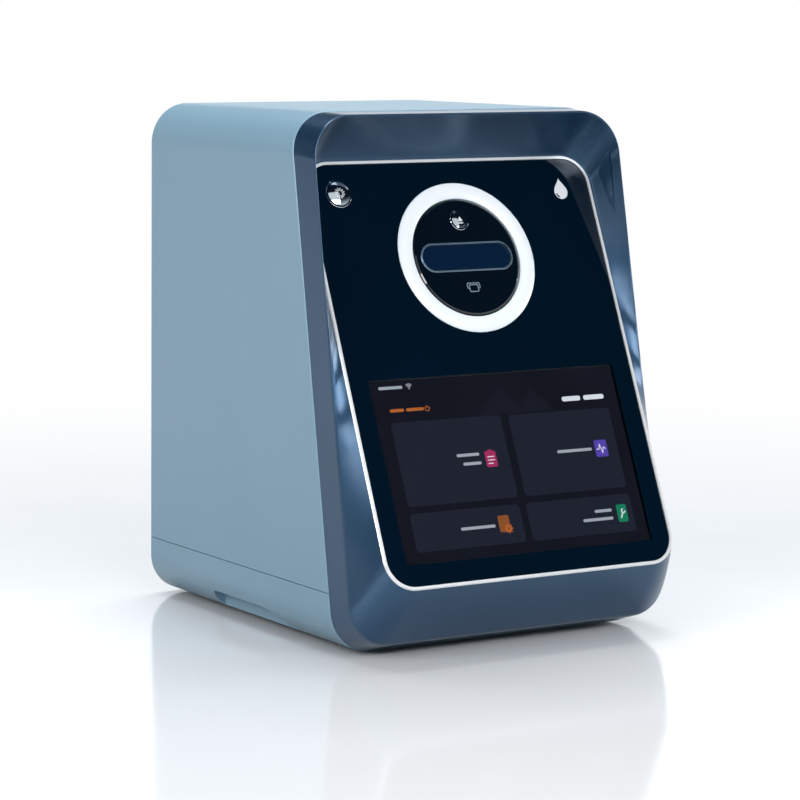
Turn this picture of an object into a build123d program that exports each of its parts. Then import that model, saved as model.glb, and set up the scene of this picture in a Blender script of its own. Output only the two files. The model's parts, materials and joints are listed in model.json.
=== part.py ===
from build123d import *
import math
import os

# A benchtop blood analyzer: a rounded tube of a housing with a leaning front rim,
# a dark glass front with a touch display, a ring light round a motorised cartridge
# tray, and an inverted microscope inside. Millimetres, +Z up, +Y to the rear.
# The origin lies on the table under the middle of the housing.

# Housing
HEIGHT = 401.0
DEPTH = 356.5
BASE_WIDTH = 286.4
SIDE_DRAFT = 0.485
FOOT_HEIGHT = 2.0
SHELL_WALL = 2.6
SHELL_TOP_RADIUS = 32.0
SHELL_BOTTOM_RADIUS = 30.0
SHELL_REAR_ROUND = 1.6
SHELL_FRONT_BEVEL = 0.7
SEAM_HEIGHT = 47.0
SEAM_GAP = 0.6
REAR_FLANGE = 9.0
REAR_FLANGE_THICKNESS = 2.4
SEAM_TONGUE = 5.0
SEAM_TONGUE_THICKNESS = 1.6
CUT_REACH = 1.0

# Finger grips in the lower side edges
GRIP_LENGTH = 86.0
GRIP_REAR = 76.0
GRIP_HEIGHT = 19.2
GRIP_DEPTH = 15.0
GRIP_RAMP = 56.0
GRIP_ROUND = 5.5
GRIP_RAMP_ROUND = 30.0
GRIP_WALL = 2.2

# Front rim
RIM_LEAN = 10.05
CHIN_REACH = 29.0
RIM_BAND = 29.5
RIM_TOP_DROP = 2.0
RIM_BOTTOM_RISE = 9.2
RIM_FOOT_INSET = 0.2
RIM_HEAD_INSET = 6.2
RIM_TOP_RADIUS = 33.0
RIM_BOTTOM_RADIUS = 31.0
RIM_EDGE = 2.4
STRAIGHT_SPANS = 2
LOOP_START_ANGLE = 0.2
RIM_WALL = 3.2
RIM_BACK = 11.0
RIM_TONGUE = 6.0
RIM_TONGUE_THICKNESS = 2.0
RIM_TONGUE_CLEARANCE = 0.2
FLARE_HOLLOW = 4.0

# Glass front and its polished trim
PANEL_LEAN = 23.5
GLASS_SIDE_MARGIN = 16.1
GLASS_HEAD_DROP = 40.779
GLASS_FOOT = 64.4
GLASS_THICKNESS = 3.0
GLASS_RADIUS = 21.0
GLASS_CLEARANCE = 0.1
TRIM_WIDTH = 2.6
TRIM_RISE = 1.0
TRIM_BEVEL = 0.7
LEDGE_WIDTH = 8.0
LEDGE_GAP = 0.2
LEDGE_THICKNESS = 5.0

# Display behind the glass
DISPLAY_SIDE_MARGIN = 12.2
DISPLAY_FOOT_MARGIN = 9.55
DISPLAY_RING_GAP = 28.85
DISPLAY_THICKNESS = 5.2

# Carrier plate that holds the display, the tray hub and the switch boards
CARRIER_THICKNESS = 2.0
CARRIER_OUTSET = 1.0
CARRIER_WINDOW_INSET = 26.0
CARRIER_WINDOW_RADIUS = 8.0
CARRIER_SCREW_RADIUS = 1.5
CARRIER_SCREW_HEAD_RADIUS = 2.8
CARRIER_SCREW_HEAD = 1.8
CARRIER_SCREW_REACH = 3.0
CARRIER_SCREW_INSET = 1.8
CARRIER_SCREW_ROWS = 4

# Ring light and the black hub inside it
HUB_DROP = 77.8
RING_OUTER_RADIUS = 60.3
RING_INNER_RADIUS = 47.7
RING_CROWN = 1.5
RING_EDGE_RISE = 0.3
RING_FLANGE = 3.6
RING_FLANGE_THICKNESS = 1.4
RING_CLEARANCE = 0.2
HUB_RADIUS = 46.3
HUB_RISE = 0.6
HUB_BEVEL = 1.1
HUB_FACE_THICKNESS = 3.6
HUB_SKIRT_WALL = 2.8
HUB_FLANGE_THICKNESS = 1.6
HUB_FLANGE_RADIUS = 64.0
LED_BOARD_THICKNESS = 1.4
LED_COUNT = 24
LED_SIZE = 3.0
LED_HEIGHT = 1.0

# Cartridge slot, its trim and the tray door
SLOT_RISE = 0.6
SLOT_WIDTH = 83.0
SLOT_HEIGHT = 23.5
SLOT_TRIM_WIDTH = 1.4
SLOT_TRIM_RISE = 0.5
SLOT_TRIM_DEPTH = 4.2
SLOT_TRIM_BEVEL = 0.6
DOOR_CLEARANCE = 0.4
DOOR_RECESS = 1.0
DOOR_THICKNESS = 3.6

# Cartridge tray and rack drive
TRAY_WIDTH = 66.0
TRAY_THICKNESS = 8.0
TRAY_REACH = 148.373
TRAY_STROKE = 92.0
TRAY_EDGE_ROUND = 3.0
POCKET_WIDTH = 58.0
POCKET_LENGTH = 76.0
POCKET_DEPTH = 5.0
POCKET_FRONT_WALL = 5.0
POCKET_RADIUS = 3.0
WINDOW_WIDTH = 30.0
WINDOW_LENGTH = 50.0
NOTCH_RADIUS = 9.0
GEAR_MODULE = 1.0
PINION_TEETH = 18
PINION_THICKNESS = 3.4
PRESSURE_ANGLE = 20.0
GEAR_DEDENDUM = 1.25
GEAR_BACKLASH = 0.24
PINION_X = 13.5
PINION_BEHIND_SLOT = 28.373
PINION_BORE_CLEARANCE = 0.05
PINION_SHAFT_RADIUS = 2.0
PINION_SHAFT_DEPTH = 16.0
RACK_HEIGHT = 4.0
RACK_BACK = 4.0
RACK_END_TEETH = 2
GEAR_TRAY_GAP = 0.4
GUIDE_CLEARANCE = 0.3
GUIDE_LIP = 3.2
GUIDE_WALL = 2.6
GUIDE_BEHIND_SLOT = 26.373
GUIDE_OVERHANG = 12.0

# Inner frame
POST_RADIUS = 5.5
POST_SIDE_INSET = 43.2
POST_FRONT_INSET = 75.25
POST_REAR_INSET = 48.25
POST_SUPPLY_GAP = 12.0
CHASSIS_HEIGHT = 26.0
CHASSIS_THICKNESS = 2.0
CHASSIS_SIDE_GAP = 29.2
CHASSIS_FRONT_GAP = 56.25
CHASSIS_REAR_GAP = 18.25
CHASSIS_CORNER = 12.0
FRAME_SPACING = 100.0
FRAME_SHEET = 2.0
FRAME_FRONT_GAP = 80.25
FRAME_REAR_GAP = 80.25
FRAME_HEADROOM = 67.0
FRAME_PANEL_GAP = 19.0
FRAME_FOOT = 14.0
FRAME_CUTOUT_MARGIN = 18.0
FRAME_CUTOUT_RADIUS = 10.0
DECK_THICKNESS = 2.0
DECK_DROP = 10.0
MACHINE_SCREW_RADIUS = 1.9
MACHINE_SCREW_HOLE = 2.0
MACHINE_SCREW_HEAD_RADIUS = 3.6
MACHINE_SCREW_HEAD = 2.2
CASE_SCREW_SINK = 1.2
SCREW_END_GAP = 1.0

# Tray motor
TRAY_MOTOR_SIZE = 20.0
TRAY_MOTOR_LENGTH = 30.0
TRAY_MOTOR_CORNER = 3.0
MOTOR_BORE_SHARE = 0.75

# Microscope
OPTIC_BEHIND_SLOT = 52.373
OBJECTIVE_TOP_GAP = 3.4
OBJECTIVE_TIP_RADIUS = 5.0
OBJECTIVE_RADIUS = 12.0
OBJECTIVE_LENGTH = 42.0
OBJECTIVE_TIP_LENGTH = 9.0
OBJECTIVE_WAIST = 1.0
OPTIC_HOLE_RADIUS = 14.0
TUBE_RADIUS = 14.0
TUBE_WALL = 2.0
TUBE_LENGTH = 62.0
CAMERA_SIZE = 38.0
CAMERA_HEIGHT = 24.0
CAMERA_CORNER = 3.0
FOCUS_TRAVEL = 2.0
FOCUS_ROD_SPACING = 52.0
FOCUS_ROD_RADIUS = 4.0
FOCUS_ROD_BEHIND = 34.0
FOCUS_BEARING_CLEARANCE = 0.05
FOCUS_SCREW_RADIUS = 3.0
FOCUS_SCREW_LEAD = 1.0
FOCUS_CARRIAGE_HEIGHT = 36.0
FOCUS_CARRIAGE_DEPTH = 18.0
FOCUS_CLAMP_WALL = 5.0
FOCUS_FRAME_HEIGHT = 116.0
FOCUS_FRAME_HEADROOM = 17.4
FOCUS_FRAME_SHEET = 5.0
FOCUS_FRAME_DEPTH = 24.0
FOCUS_MOTOR_SIZE = 28.0
FOCUS_MOTOR_LENGTH = 32.0
FOCUS_COLLAR_RADIUS = 5.0
FOCUS_COLLAR_HEIGHT = 4.0
LAMP_RADIUS = 13.0
LAMP_HEIGHT = 22.0
LAMP_GAP = 4.4
LAMP_FINS = 5
LAMP_FIN_DEPTH = 2.0
LAMP_WALL = 2.0
CONDENSER_RADIUS = 8.0
CONDENSER_THICKNESS = 3.0
CONDENSER_BULGE = 1.6
BRIDGE_WIDTH = 34.0
BRIDGE_THICKNESS = 3.0

# Electronics
BOARD_THICKNESS = 1.6
STANDOFF_HEIGHT = 6.0
STANDOFF_RADIUS = 2.6
MAIN_BOARD_LENGTH = 150.0
MAIN_BOARD_HEIGHT = 130.0
MAIN_BOARD_BOTTOM = 70.0
MAIN_BOARD_SHIFT = 12.0
PROCESSOR_SIZE = 32.0
HEATSINK_HEIGHT = 10.0
HEATSINK_FINS = 7
HEATSINK_FIN = 1.6
SUPPLY_WIDTH = 46.0
SUPPLY_LENGTH = 128.0
SUPPLY_HEIGHT = 38.0
SUPPLY_FRAME_GAP = 16.0
SUPPLY_REAR_GAP = 42.0
SUPPLY_VENTS = 9
VENT_SLOT = 3.0
DRIVER_BOARD_WIDTH = 84.0
DRIVER_BOARD_LENGTH = 38.0
DRIVER_BOARD_RISE = 1.15
SWITCH_BOARD_WIDTH = 28.0
SWITCH_BOARD_LENGTH = 14.0
TACT_SIZE = 6.0
TACT_HEIGHT = 3.0
TACT_GAP = 0.1

# Front buttons
POWER_SIDE_INSET = 26.1
POWER_DROP = 23.3
POWER_RADIUS = 9.3
POWER_TRAVEL = 1.2
POWER_DOME = 1.3
EJECT_ABOVE_HUB = 30.0
EJECT_RADIUS = 6.5
EJECT_TRAVEL = 1.0
EJECT_DOME = 0.6
BUTTON_GAP = 0.3
DOME_ARC_SHARE = 0.7
BUTTON_RING_WIDTH = 1.3
BUTTON_RING_RISE = 0.5
BUTTON_EDGE_RISE = 0.7
BUTTON_FLANGE = 0.9
BUTTON_FLANGE_THICKNESS = 1.0
BUTTON_STEM_RADIUS = 2.2
BUTTON_STEM_LENGTH = 4.4

# Rear panel
PANEL_SHEET = 2.0
PANEL_RECESS = 5.5
PANEL_EDGE_GAP = 0.3
PANEL_SCREW_INSET = 5.0
PANEL_SCREW_REACH = 5.0
FAN_SIZE = 80.0
FAN_DEPTH = 25.0
FAN_DROP = 139.0
FAN_BORE = 76.0
FAN_CORNER = 4.0
FAN_HOLE_SPACING = 71.5
FAN_SLOTS = 9
FAN_SLOT_WIDTH = 4.2
FAN_SLOT_PITCH = 7.8
FAN_HUB_RADIUS = 16.0
FAN_MOUNT_THICKNESS = 3.0
FAN_STRUTS = 4
FAN_STRUT_WIDTH = 4.0
FAN_BLADES = 7
FAN_BLADE_TIP_GAP = 1.2
FAN_JOINT_OVERLAP = 1.0
FAN_BLADE_THICKNESS = 1.4
FAN_BLADE_DEPTH = 17.0
FAN_BLADE_ROOT_PITCH = 52.0
FAN_BLADE_TIP_PITCH = 30.0
FAN_AXLE_RADIUS = 1.5
FAN_AXLE_CLEARANCE = 0.05
FAN_AXIAL_GAP = 0.8
INLET_SIDE_INSET = 57.2
INLET_HEIGHT = 95.0
INLET_WIDTH = 31.0
INLET_TALL = 24.0
INLET_FLANGE = 3.0
INLET_FLANGE_THICKNESS = 2.0
INLET_DEPTH = 24.0
INLET_CAVITY_WIDTH = 25.0
INLET_CAVITY_TALL = 17.0
INLET_CAVITY_DEPTH = 17.0
INLET_CORNER = 5.0
INLET_PIN_WIDTH = 2.0
INLET_PIN_TALL = 4.0
INLET_PIN_SPACING = 14.0
INLET_PIN_LENGTH = 15.0
INLET_EARTH_RISE = 3.6
INLET_LINE_DROP = 1.0
ROCKER_SPACING = 36.0
ROCKER_WIDTH = 11.0
ROCKER_TALL = 19.0
ROCKER_BEZEL = 2.6
ROCKER_BEZEL_THICKNESS = 1.8
ROCKER_BOX_DEPTH = 15.0
ROCKER_BOX_WALL = 1.4
ROCKER_SWING = 20.0
ROCKER_GAP = 0.5
ROCKER_END_CUT = 1.0
ROCKER_PIN_RADIUS = 1.2
ROCKER_PIN_CLEARANCE = 0.06
ROCKER_PIVOT_DEPTH = 4.5
ROCKER_SKIRT = 7.0
IO_BOARD_WIDTH = 62.0
IO_BOARD_DEPTH = 34.0
IO_SIDE_INSET = 69.2
IO_HEIGHT = 88.0
PORT_OFFSET = 14.0
USB_WIDTH = 14.6
USB_TALL = 16.0
USB_DEPTH = 18.0
USB_CAVITY_WIDTH = 12.6
USB_CAVITY_TALL = 5.4
USB_CAVITY_PITCH = 7.6
USB_CAVITY_DEPTH = 12.0
USB_TONGUE_THICKNESS = 1.8
USB_TONGUE_WIDTH = 11.0
USB_TONGUE_RECESS = 1.0
LAN_WIDTH = 16.4
LAN_TALL = 13.6
LAN_DEPTH = 21.0
LAN_CAVITY_WIDTH = 11.9
LAN_CAVITY_TALL = 8.4
LAN_CAVITY_DEPTH = 13.0
LAN_KEYWAY_DEPTH = 2.0
PORT_GAP = 0.3

# Underside
FOOT_RADIUS = 12.0
FOOT_SIDE_INSET = 51.2
FOOT_FRONT_INSET = 86.25
FOOT_REAR_INSET = 30.25
FOOT_STEM_RADIUS = 4.0
FOOT_STEM_GAP = 0.15
FOOT_STEM_LENGTH = 6.0
FOOT_BARB = 1.0
INTAKE_SLOTS = 11
INTAKE_SLOT_WIDTH = 3.0
INTAKE_SLOT_LENGTH = 46.0
INTAKE_SLOT_PITCH = 9.0
INTAKE_Y = -30.0


# Derived places
BACK = DEPTH / 2
FRONT = -BACK
RIM_SLOPE = math.tan(math.radians(RIM_LEAN))
PANEL_SIN = math.sin(math.radians(PANEL_LEAN))
PANEL_COS = math.cos(math.radians(PANEL_LEAN))
RIM_LOW = FOOT_HEIGHT + RIM_BOTTOM_RISE
RIM_HIGH = HEIGHT - RIM_TOP_DROP
RIM_FOOT_Y = FRONT + CHIN_REACH
TRIM_FOOT = GLASS_FOOT - TRIM_WIDTH - GLASS_CLEARANCE
TRIM_OUTSET = TRIM_WIDTH + GLASS_CLEARANCE
PANEL_FOOT_Y = FRONT - (TRIM_FOOT + TRIM_BEVEL) * PANEL_SIN + TRIM_RISE * PANEL_COS
PANEL = Plane(origin=(0, PANEL_FOOT_Y, 0), x_dir=(1, 0, 0), z_dir=(0, -PANEL_COS, PANEL_SIN))
PANEL_OUT = Axis((0, 0, 0), PANEL.z_dir)
GLASS_WIDTH = BASE_WIDTH - 2 * GLASS_SIDE_MARGIN
GLASS_HEAD = (HEIGHT - GLASS_HEAD_DROP) / PANEL_COS
GLASS_LENGTH = GLASS_HEAD - GLASS_FOOT
LEDGE_FRONT = -GLASS_THICKNESS - LEDGE_GAP
LEDGE_BACK = LEDGE_FRONT - LEDGE_THICKNESS
CARRIER_BACK = LEDGE_BACK - CARRIER_THICKNESS
HUB_CENTRE = GLASS_HEAD - HUB_DROP
SLOT_CENTRE = HUB_CENTRE + SLOT_RISE
SLOT_Z = SLOT_CENTRE * PANEL_COS
SLOT_Y = PANEL_FOOT_Y + SLOT_CENTRE * PANEL_SIN
EJECT_RISE = HUB_CENTRE + EJECT_ABOVE_HUB
POWER_X = POWER_SIDE_INSET - GLASS_WIDTH / 2
POWER_RISE = GLASS_HEAD - POWER_DROP
DISPLAY_FOOT = GLASS_FOOT + DISPLAY_FOOT_MARGIN
DISPLAY_HEAD = HUB_CENTRE - RING_OUTER_RADIUS - DISPLAY_RING_GAP
DISPLAY_WIDTH = GLASS_WIDTH - 2 * DISPLAY_SIDE_MARGIN
DISPLAY_LENGTH = DISPLAY_HEAD - DISPLAY_FOOT
DISPLAY_CENTRE = (DISPLAY_HEAD + DISPLAY_FOOT) / 2
DRIVER_BOARD_CENTRE = DISPLAY_HEAD + DRIVER_BOARD_RISE
DOOR_OUTSET = SLOT_TRIM_WIDTH + DOOR_CLEARANCE
TRAY_BOTTOM = SLOT_Z - TRAY_THICKNESS / 2
TRAY_TOP = SLOT_Z + TRAY_THICKNESS / 2
TRAY_REAR = SLOT_Y + TRAY_REACH
DECK_TOP = TRAY_BOTTOM - DECK_DROP
DECK_BOTTOM = DECK_TOP - DECK_THICKNESS
GUIDE_FRONT = SLOT_Y + GUIDE_BEHIND_SLOT
GUIDE_REAR = TRAY_REAR + GUIDE_OVERHANG
RACK_BOTTOM = TRAY_BOTTOM - RACK_HEIGHT
PINION_Y = SLOT_Y + PINION_BEHIND_SLOT
PINION_PITCH_RADIUS = GEAR_MODULE * PINION_TEETH / 2
RACK_PITCH_X = PINION_X + PINION_PITCH_RADIUS
TOOTH_PITCH = math.pi * GEAR_MODULE
BASE_FLOOR = FOOT_HEIGHT + SHELL_WALL
CHASSIS_BOTTOM = CHASSIS_HEIGHT - CHASSIS_THICKNESS
CHASSIS_WIDTH = BASE_WIDTH - 2 * CHASSIS_SIDE_GAP
CHASSIS_FRONT = FRONT + CHASSIS_FRONT_GAP
CHASSIS_REAR = BACK - CHASSIS_REAR_GAP
FRAME_FRONT = FRONT + FRAME_FRONT_GAP
FRAME_REAR = BACK - FRAME_REAR_GAP
FRAME_TOP = HEIGHT - FRAME_HEADROOM
SUPPLY_X = -FRAME_SPACING / 2 - SUPPLY_FRAME_GAP - SUPPLY_WIDTH / 2
SUPPLY_Y = CHASSIS_REAR - SUPPLY_REAR_GAP - SUPPLY_LENGTH / 2
MAIN_BOARD_CENTRE = (FRAME_FRONT + FRAME_REAR) / 2 + MAIN_BOARD_SHIFT
POST_COLUMN = BASE_WIDTH / 2 - POST_SIDE_INSET
POST_MIDDLE_ROW = SUPPLY_Y - SUPPLY_LENGTH / 2 - POST_SUPPLY_GAP
POST_ROWS = (FRONT + POST_FRONT_INSET, POST_MIDDLE_ROW, BACK - POST_REAR_INSET)
FOOT_COLUMN = BASE_WIDTH / 2 - FOOT_SIDE_INSET
FOOT_ROWS = (FRONT + FOOT_FRONT_INSET, BACK - FOOT_REAR_INSET)
OPTIC_Y = SLOT_Y + OPTIC_BEHIND_SLOT
OBJECTIVE_TOP = TRAY_BOTTOM - OBJECTIVE_TOP_GAP
OBJECTIVE_BOTTOM = OBJECTIVE_TOP - OBJECTIVE_LENGTH
TUBE_BOTTOM = OBJECTIVE_BOTTOM - TUBE_LENGTH
FOCUS_Y = OPTIC_Y + FOCUS_ROD_BEHIND
FOCUS_BACK_Y = FOCUS_Y + FOCUS_FRAME_DEPTH / 2
FOCUS_FRAME_TOP = DECK_BOTTOM - FOCUS_FRAME_HEADROOM
FOCUS_FRAME_BOTTOM = FOCUS_FRAME_TOP - FOCUS_FRAME_HEIGHT
FOCUS_MIDDLE = (FOCUS_FRAME_BOTTOM + FOCUS_FRAME_TOP) / 2
LAMP_BOTTOM = TRAY_TOP + LAMP_GAP
BRIDGE_BOTTOM = LAMP_BOTTOM + LAMP_HEIGHT / 2
REAR_SHEET_OUT = BACK - PANEL_RECESS
REAR_SHEET_IN = REAR_SHEET_OUT - PANEL_SHEET
FAN_HEIGHT = HEIGHT - FAN_DROP
INLET_X = INLET_SIDE_INSET - BASE_WIDTH / 2
ROCKER_X = INLET_X + ROCKER_SPACING
IO_X = BASE_WIDTH / 2 - IO_SIDE_INSET
USB_X = IO_X - PORT_OFFSET
LAN_X = IO_X + PORT_OFFSET


def half_width(z):
    """Half the housing's width at height z, narrowed by the draft of its sides."""
    return BASE_WIDTH / 2 - z * math.tan(math.radians(SIDE_DRAFT))


def rim_half_width(z):
    """Half the front rim's width at height z."""
    share = (z - RIM_LOW) / (RIM_HIGH - RIM_LOW)
    return BASE_WIDTH / 2 - RIM_FOOT_INSET - share * (RIM_HEAD_INSET - RIM_FOOT_INSET)


def rounded_outline(low, high, half_low, half_high, radius_low, radius_high):
    """Rounded trapezoid whose first axis is X and second axis is height."""
    corners = [(-half_low, low), (half_low, low), (half_high, high), (-half_high, high)]
    outline = make_face(Polyline(*corners, close=True))
    outline = fillet(outline.vertices().group_by(Axis.Y)[0], radius_low)
    return fillet(outline.vertices().group_by(Axis.Y)[-1], radius_high)


def housing_outline(inset=0.0):
    """Cross-section of the housing, inset all round."""
    outline = rounded_outline(FOOT_HEIGHT, HEIGHT, half_width(FOOT_HEIGHT), half_width(HEIGHT),
                              SHELL_BOTTOM_RADIUS, SHELL_TOP_RADIUS)
    return offset(outline, -inset) if inset else outline


def rim_outline(inset=0.0):
    """Outline of the front rim's crest, inset all round."""
    outline = rounded_outline(RIM_LOW, RIM_HIGH, rim_half_width(RIM_LOW), rim_half_width(RIM_HIGH),
                              RIM_BOTTOM_RADIUS, RIM_TOP_RADIUS)
    return offset(outline, -inset) if inset else outline


def glass_outline(outset):
    """Glass outline on the panel plane, grown by the outset, which may be negative."""
    half = GLASS_WIDTH / 2 + outset
    return rounded_outline(GLASS_FOOT - outset, GLASS_FOOT + GLASS_LENGTH + outset, half, half,
                           GLASS_RADIUS + outset, GLASS_RADIUS + outset)


def rim_plane(behind):
    """Plane parallel to the rim's crest, a distance behind it along Y."""
    lean = math.radians(RIM_LEAN)
    return Plane(origin=(0, RIM_FOOT_Y + behind, 0), x_dir=(1, 0, 0),
                 z_dir=(0, -math.cos(lean), math.sin(lean)))


def on_rim(behind):
    """Lift from an upright outline to the rim's leaning plane, a distance behind its crest."""
    return lambda point: Vector(point.X, RIM_FOOT_Y + behind + RIM_SLOPE * point.Y, point.Y)


def on_panel(rise):
    """Lift from an outline on the panel to its plane, a distance in front of the glass."""
    return lambda point: PANEL.from_local_coords(Vector(point.X, point.Y, rise))


def span_loop(outline, lift):
    """Spans of a rounded outline in order: each start, middle and end, lifted into space."""
    centre = outline.center()

    def turn(edge):
        middle = edge @ 0.5
        return (math.atan2(middle.Y - centre.Y, middle.X - centre.X) + LOOP_START_ANGLE) % (2 * math.pi)

    loop = []
    for edge in sorted(outline.edges(), key=turn):
        count = STRAIGHT_SPANS if edge.geom_type == GeomType.LINE else 1
        points = [edge @ (step / 2 / count) for step in range(2 * count + 1)]
        if (points[0] - centre).cross(points[-1] - centre).Z < 0:
            points.reverse()
        for span in range(count):
            loop.append([lift(point) for point in points[2 * span:2 * span + 3]])
    return loop


def joined(first, second, mix):
    """Loop whose points are mixed from the matching points of two loops."""
    return [[mix(a, b) for a, b in zip(*spans)] for spans in zip(first, second)]


def towards(first, second, distance):
    """Loop at a distance from the first loop on the way to the second."""
    return joined(first, second, lambda a, b: a + (b - a).normalized() * distance)


def rounding(first, corner, second):
    """The two loops that round off a corner between two loops."""
    def at_share(t):
        return [[a * (1 - t) ** 2 + b * 2 * t * (1 - t) + c * t ** 2 for a, b, c in zip(*spans)]
                for spans in zip(first, corner, second)]
    return at_share(1 / 3), at_share(2 / 3)


def patch_row(span):
    """Control points and weights of the arc or line through the three points of a span."""
    start, middle, end = span
    rise = (middle - (start + end) / 2).length
    weight = math.cos(2 * math.atan2(2 * rise, (end - start).length))
    control = (middle * (2 + 2 * weight) - start - end) / (2 * weight)
    return [start, control, end], [1, weight, 1]


def skin(loops):
    """Bezier patches through two loops, or from the first to the third by way of the second."""
    faces = []
    for spans in zip(*loops):
        points, weights = zip(*[patch_row(span) for span in spans])
        faces.append(Face.make_bezier_surface([list(row) for row in points], [list(row) for row in weights]))
    return faces


def closed_solid(faces):
    """Solid inside a closed skin of faces."""
    solid = Solid(Shell(faces))
    return Part() + (solid if solid.volume > 0 else Solid(solid.wrapped.Reversed()))


def upright_prism(outline, front, rear):
    """Prism of an upright outline between two distances along Y."""
    return extrude(Plane.XZ.offset(-rear) * outline, rear - front)


def panel_prism(outline, back, front):
    """Prism of an outline on the panel between two distances in front of the glass."""
    return extrude(PANEL.offset(back) * outline, front - back)


def panel_disc(x, rise, radius, back, front):
    """Round plug square to the panel between two distances in front of the glass."""
    return extrude(PANEL.offset(back) * Pos(x, rise) * Circle(radius), front - back)


def panel_box(x, rise, width, length, back, front):
    """Block square to the panel."""
    return extrude(PANEL.offset(back) * Pos(x, rise) * Rectangle(width, length), front - back)


def post(x, y, low, high, radius):
    """Upright round post."""
    return Pos(x, y, low) * Cylinder(radius, high - low, align=(Align.CENTER, Align.CENTER, Align.MIN))


def block(x, y, z, width, depth, height):
    """Upright block standing on height z."""
    return Pos(x, y, z) * Box(width, depth, height, align=(Align.CENTER, Align.CENTER, Align.MIN))


def rearward(x, z, radius, front, rear):
    """Round bar along Y."""
    return extrude(Plane.XZ.offset(-rear) * Pos(x, z) * Circle(radius), rear - front)


def total(pieces):
    """All the pieces as one part."""
    result = Part()
    for piece in pieces:
        result += piece
    return result


# Housing shells
def housing_tube():
    """Hollow housing with its rear flange, cut along the rim's rear plane."""
    reach = RIM_FOOT_Y - RIM_BAND
    tube = upright_prism(housing_outline(), reach, BACK)
    tube = fillet(tube.faces().sort_by(Axis.Y)[-1].edges(), SHELL_REAR_ROUND)
    tube = split(tube, bisect_by=rim_plane(RIM_BAND), keep=Keep.BOTTOM)
    tube = chamfer(tube.faces().sort_by(Axis.Y)[0].edges(), SHELL_FRONT_BEVEL)
    tube -= upright_prism(housing_outline(SHELL_WALL), reach, BACK)
    flange = housing_outline(SHELL_WALL) - housing_outline(SHELL_WALL + REAR_FLANGE)
    tube += upright_prism(flange, REAR_SHEET_IN - REAR_FLANGE_THICKNESS, REAR_SHEET_IN)
    for x, z in panel_screw_places():
        tube -= rearward(x, z, MACHINE_SCREW_RADIUS, REAR_SHEET_IN - PANEL_SCREW_REACH, REAR_SHEET_IN)
    return tube


def grip_cut(growth):
    """Finger grip on the right side: a side-on profile pushed in through the lower edge."""
    rear = GRIP_REAR + growth
    knee = GRIP_REAR - GRIP_LENGTH
    top = GRIP_HEIGHT + growth
    foot = knee - GRIP_RAMP - growth
    profile = make_face(Polyline((rear, 0), (rear, top), (knee, top), (foot, 0), close=True))
    upper = profile.vertices().group_by(Axis.Y)[-1].sort_by(Axis.X)
    profile = fillet(upper[-1], GRIP_ROUND + growth)
    upper = profile.vertices().sort_by_distance(Vector(knee, top, 0))
    profile = fillet(upper[0], GRIP_RAMP_ROUND)
    inner = BASE_WIDTH / 2 - GRIP_DEPTH - growth
    return extrude(Plane.YZ.offset(inner) * profile, GRIP_DEPTH + growth + SHELL_WALL)


def post_places():
    """Places of the posts between the base and the chassis plate."""
    return [(side * POST_COLUMN, row) for row in POST_ROWS for side in (-1, 1)]


def foot_places():
    """Places of the four rubber feet."""
    return [(side * FOOT_COLUMN, row) for row in FOOT_ROWS for side in (-1, 1)]


def upper_shell(tube):
    """Wrap-round cover above the seam."""
    cover = split(tube, bisect_by=Plane.XY.offset(SEAM_HEIGHT + SEAM_GAP / 2), keep=Keep.TOP)
    return cover


def base_shell(tube):
    """Base tray below the seam, with grips, foot holes, screw holes and air slots."""
    base = split(tube, bisect_by=Plane.XY.offset(SEAM_HEIGHT - SEAM_GAP / 2), keep=Keep.BOTTOM)
    body = upright_prism(housing_outline(), RIM_FOOT_Y, BACK)
    lining = grip_cut(GRIP_WALL) & body
    base += lining + mirror(lining, about=Plane.YZ)
    grip = grip_cut(0)
    base -= grip + mirror(grip, about=Plane.YZ)
    rib = housing_outline(SHELL_WALL) - housing_outline(SHELL_WALL + SEAM_TONGUE_THICKNESS)
    front = RIM_FOOT_Y + RIM_BAND + RIM_SLOPE * (SEAM_HEIGHT + SEAM_TONGUE) + RIM_TONGUE + SEAM_GAP
    tongue = upright_prism(rib, front, REAR_SHEET_IN - REAR_FLANGE_THICKNESS - SEAM_GAP)
    tongue &= block(0, 0, SEAM_HEIGHT - SEAM_TONGUE, BASE_WIDTH, DEPTH, 2 * SEAM_TONGUE)
    base += tongue
    for x, y in foot_places():
        base -= post(x, y, 0, BASE_FLOOR + CUT_REACH, FOOT_STEM_RADIUS + FOOT_STEM_GAP)
    for x, y in post_places():
        sink = MACHINE_SCREW_HEAD_RADIUS + GUIDE_CLEARANCE
        base -= post(x, y, 0, FOOT_HEIGHT + CASE_SCREW_SINK, sink)
        base -= post(x, y, 0, BASE_FLOOR + CUT_REACH, MACHINE_SCREW_HOLE)
    slot = extrude(SlotOverall(INTAKE_SLOT_LENGTH, INTAKE_SLOT_WIDTH, rotation=90), BASE_FLOOR + CUT_REACH)
    for index in range(INTAKE_SLOTS):
        base -= Pos((index - (INTAKE_SLOTS - 1) / 2) * INTAKE_SLOT_PITCH, INTAKE_Y) * slot
    return base


def rubber_feet():
    """Four feet with a barbed stem pushed through the base."""
    feet = []
    for x, y in foot_places():
        foot = post(x, y, 0, FOOT_HEIGHT, FOOT_RADIUS)
        foot = chamfer(foot.faces().sort_by(Axis.Z)[0].edges(), FOOT_HEIGHT / 2)
        stem = post(x, y, FOOT_HEIGHT, FOOT_HEIGHT + FOOT_STEM_LENGTH, FOOT_STEM_RADIUS)
        barb_low = BASE_FLOOR + FOOT_STEM_GAP
        barb = post(x, y, barb_low, FOOT_HEIGHT + FOOT_STEM_LENGTH, FOOT_STEM_RADIUS + FOOT_BARB)
        barb = chamfer(barb.faces().sort_by(Axis.Z)[-1].edges(), FOOT_BARB)
        feet.append(foot + stem + barb)
    return Compound(feet)


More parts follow.
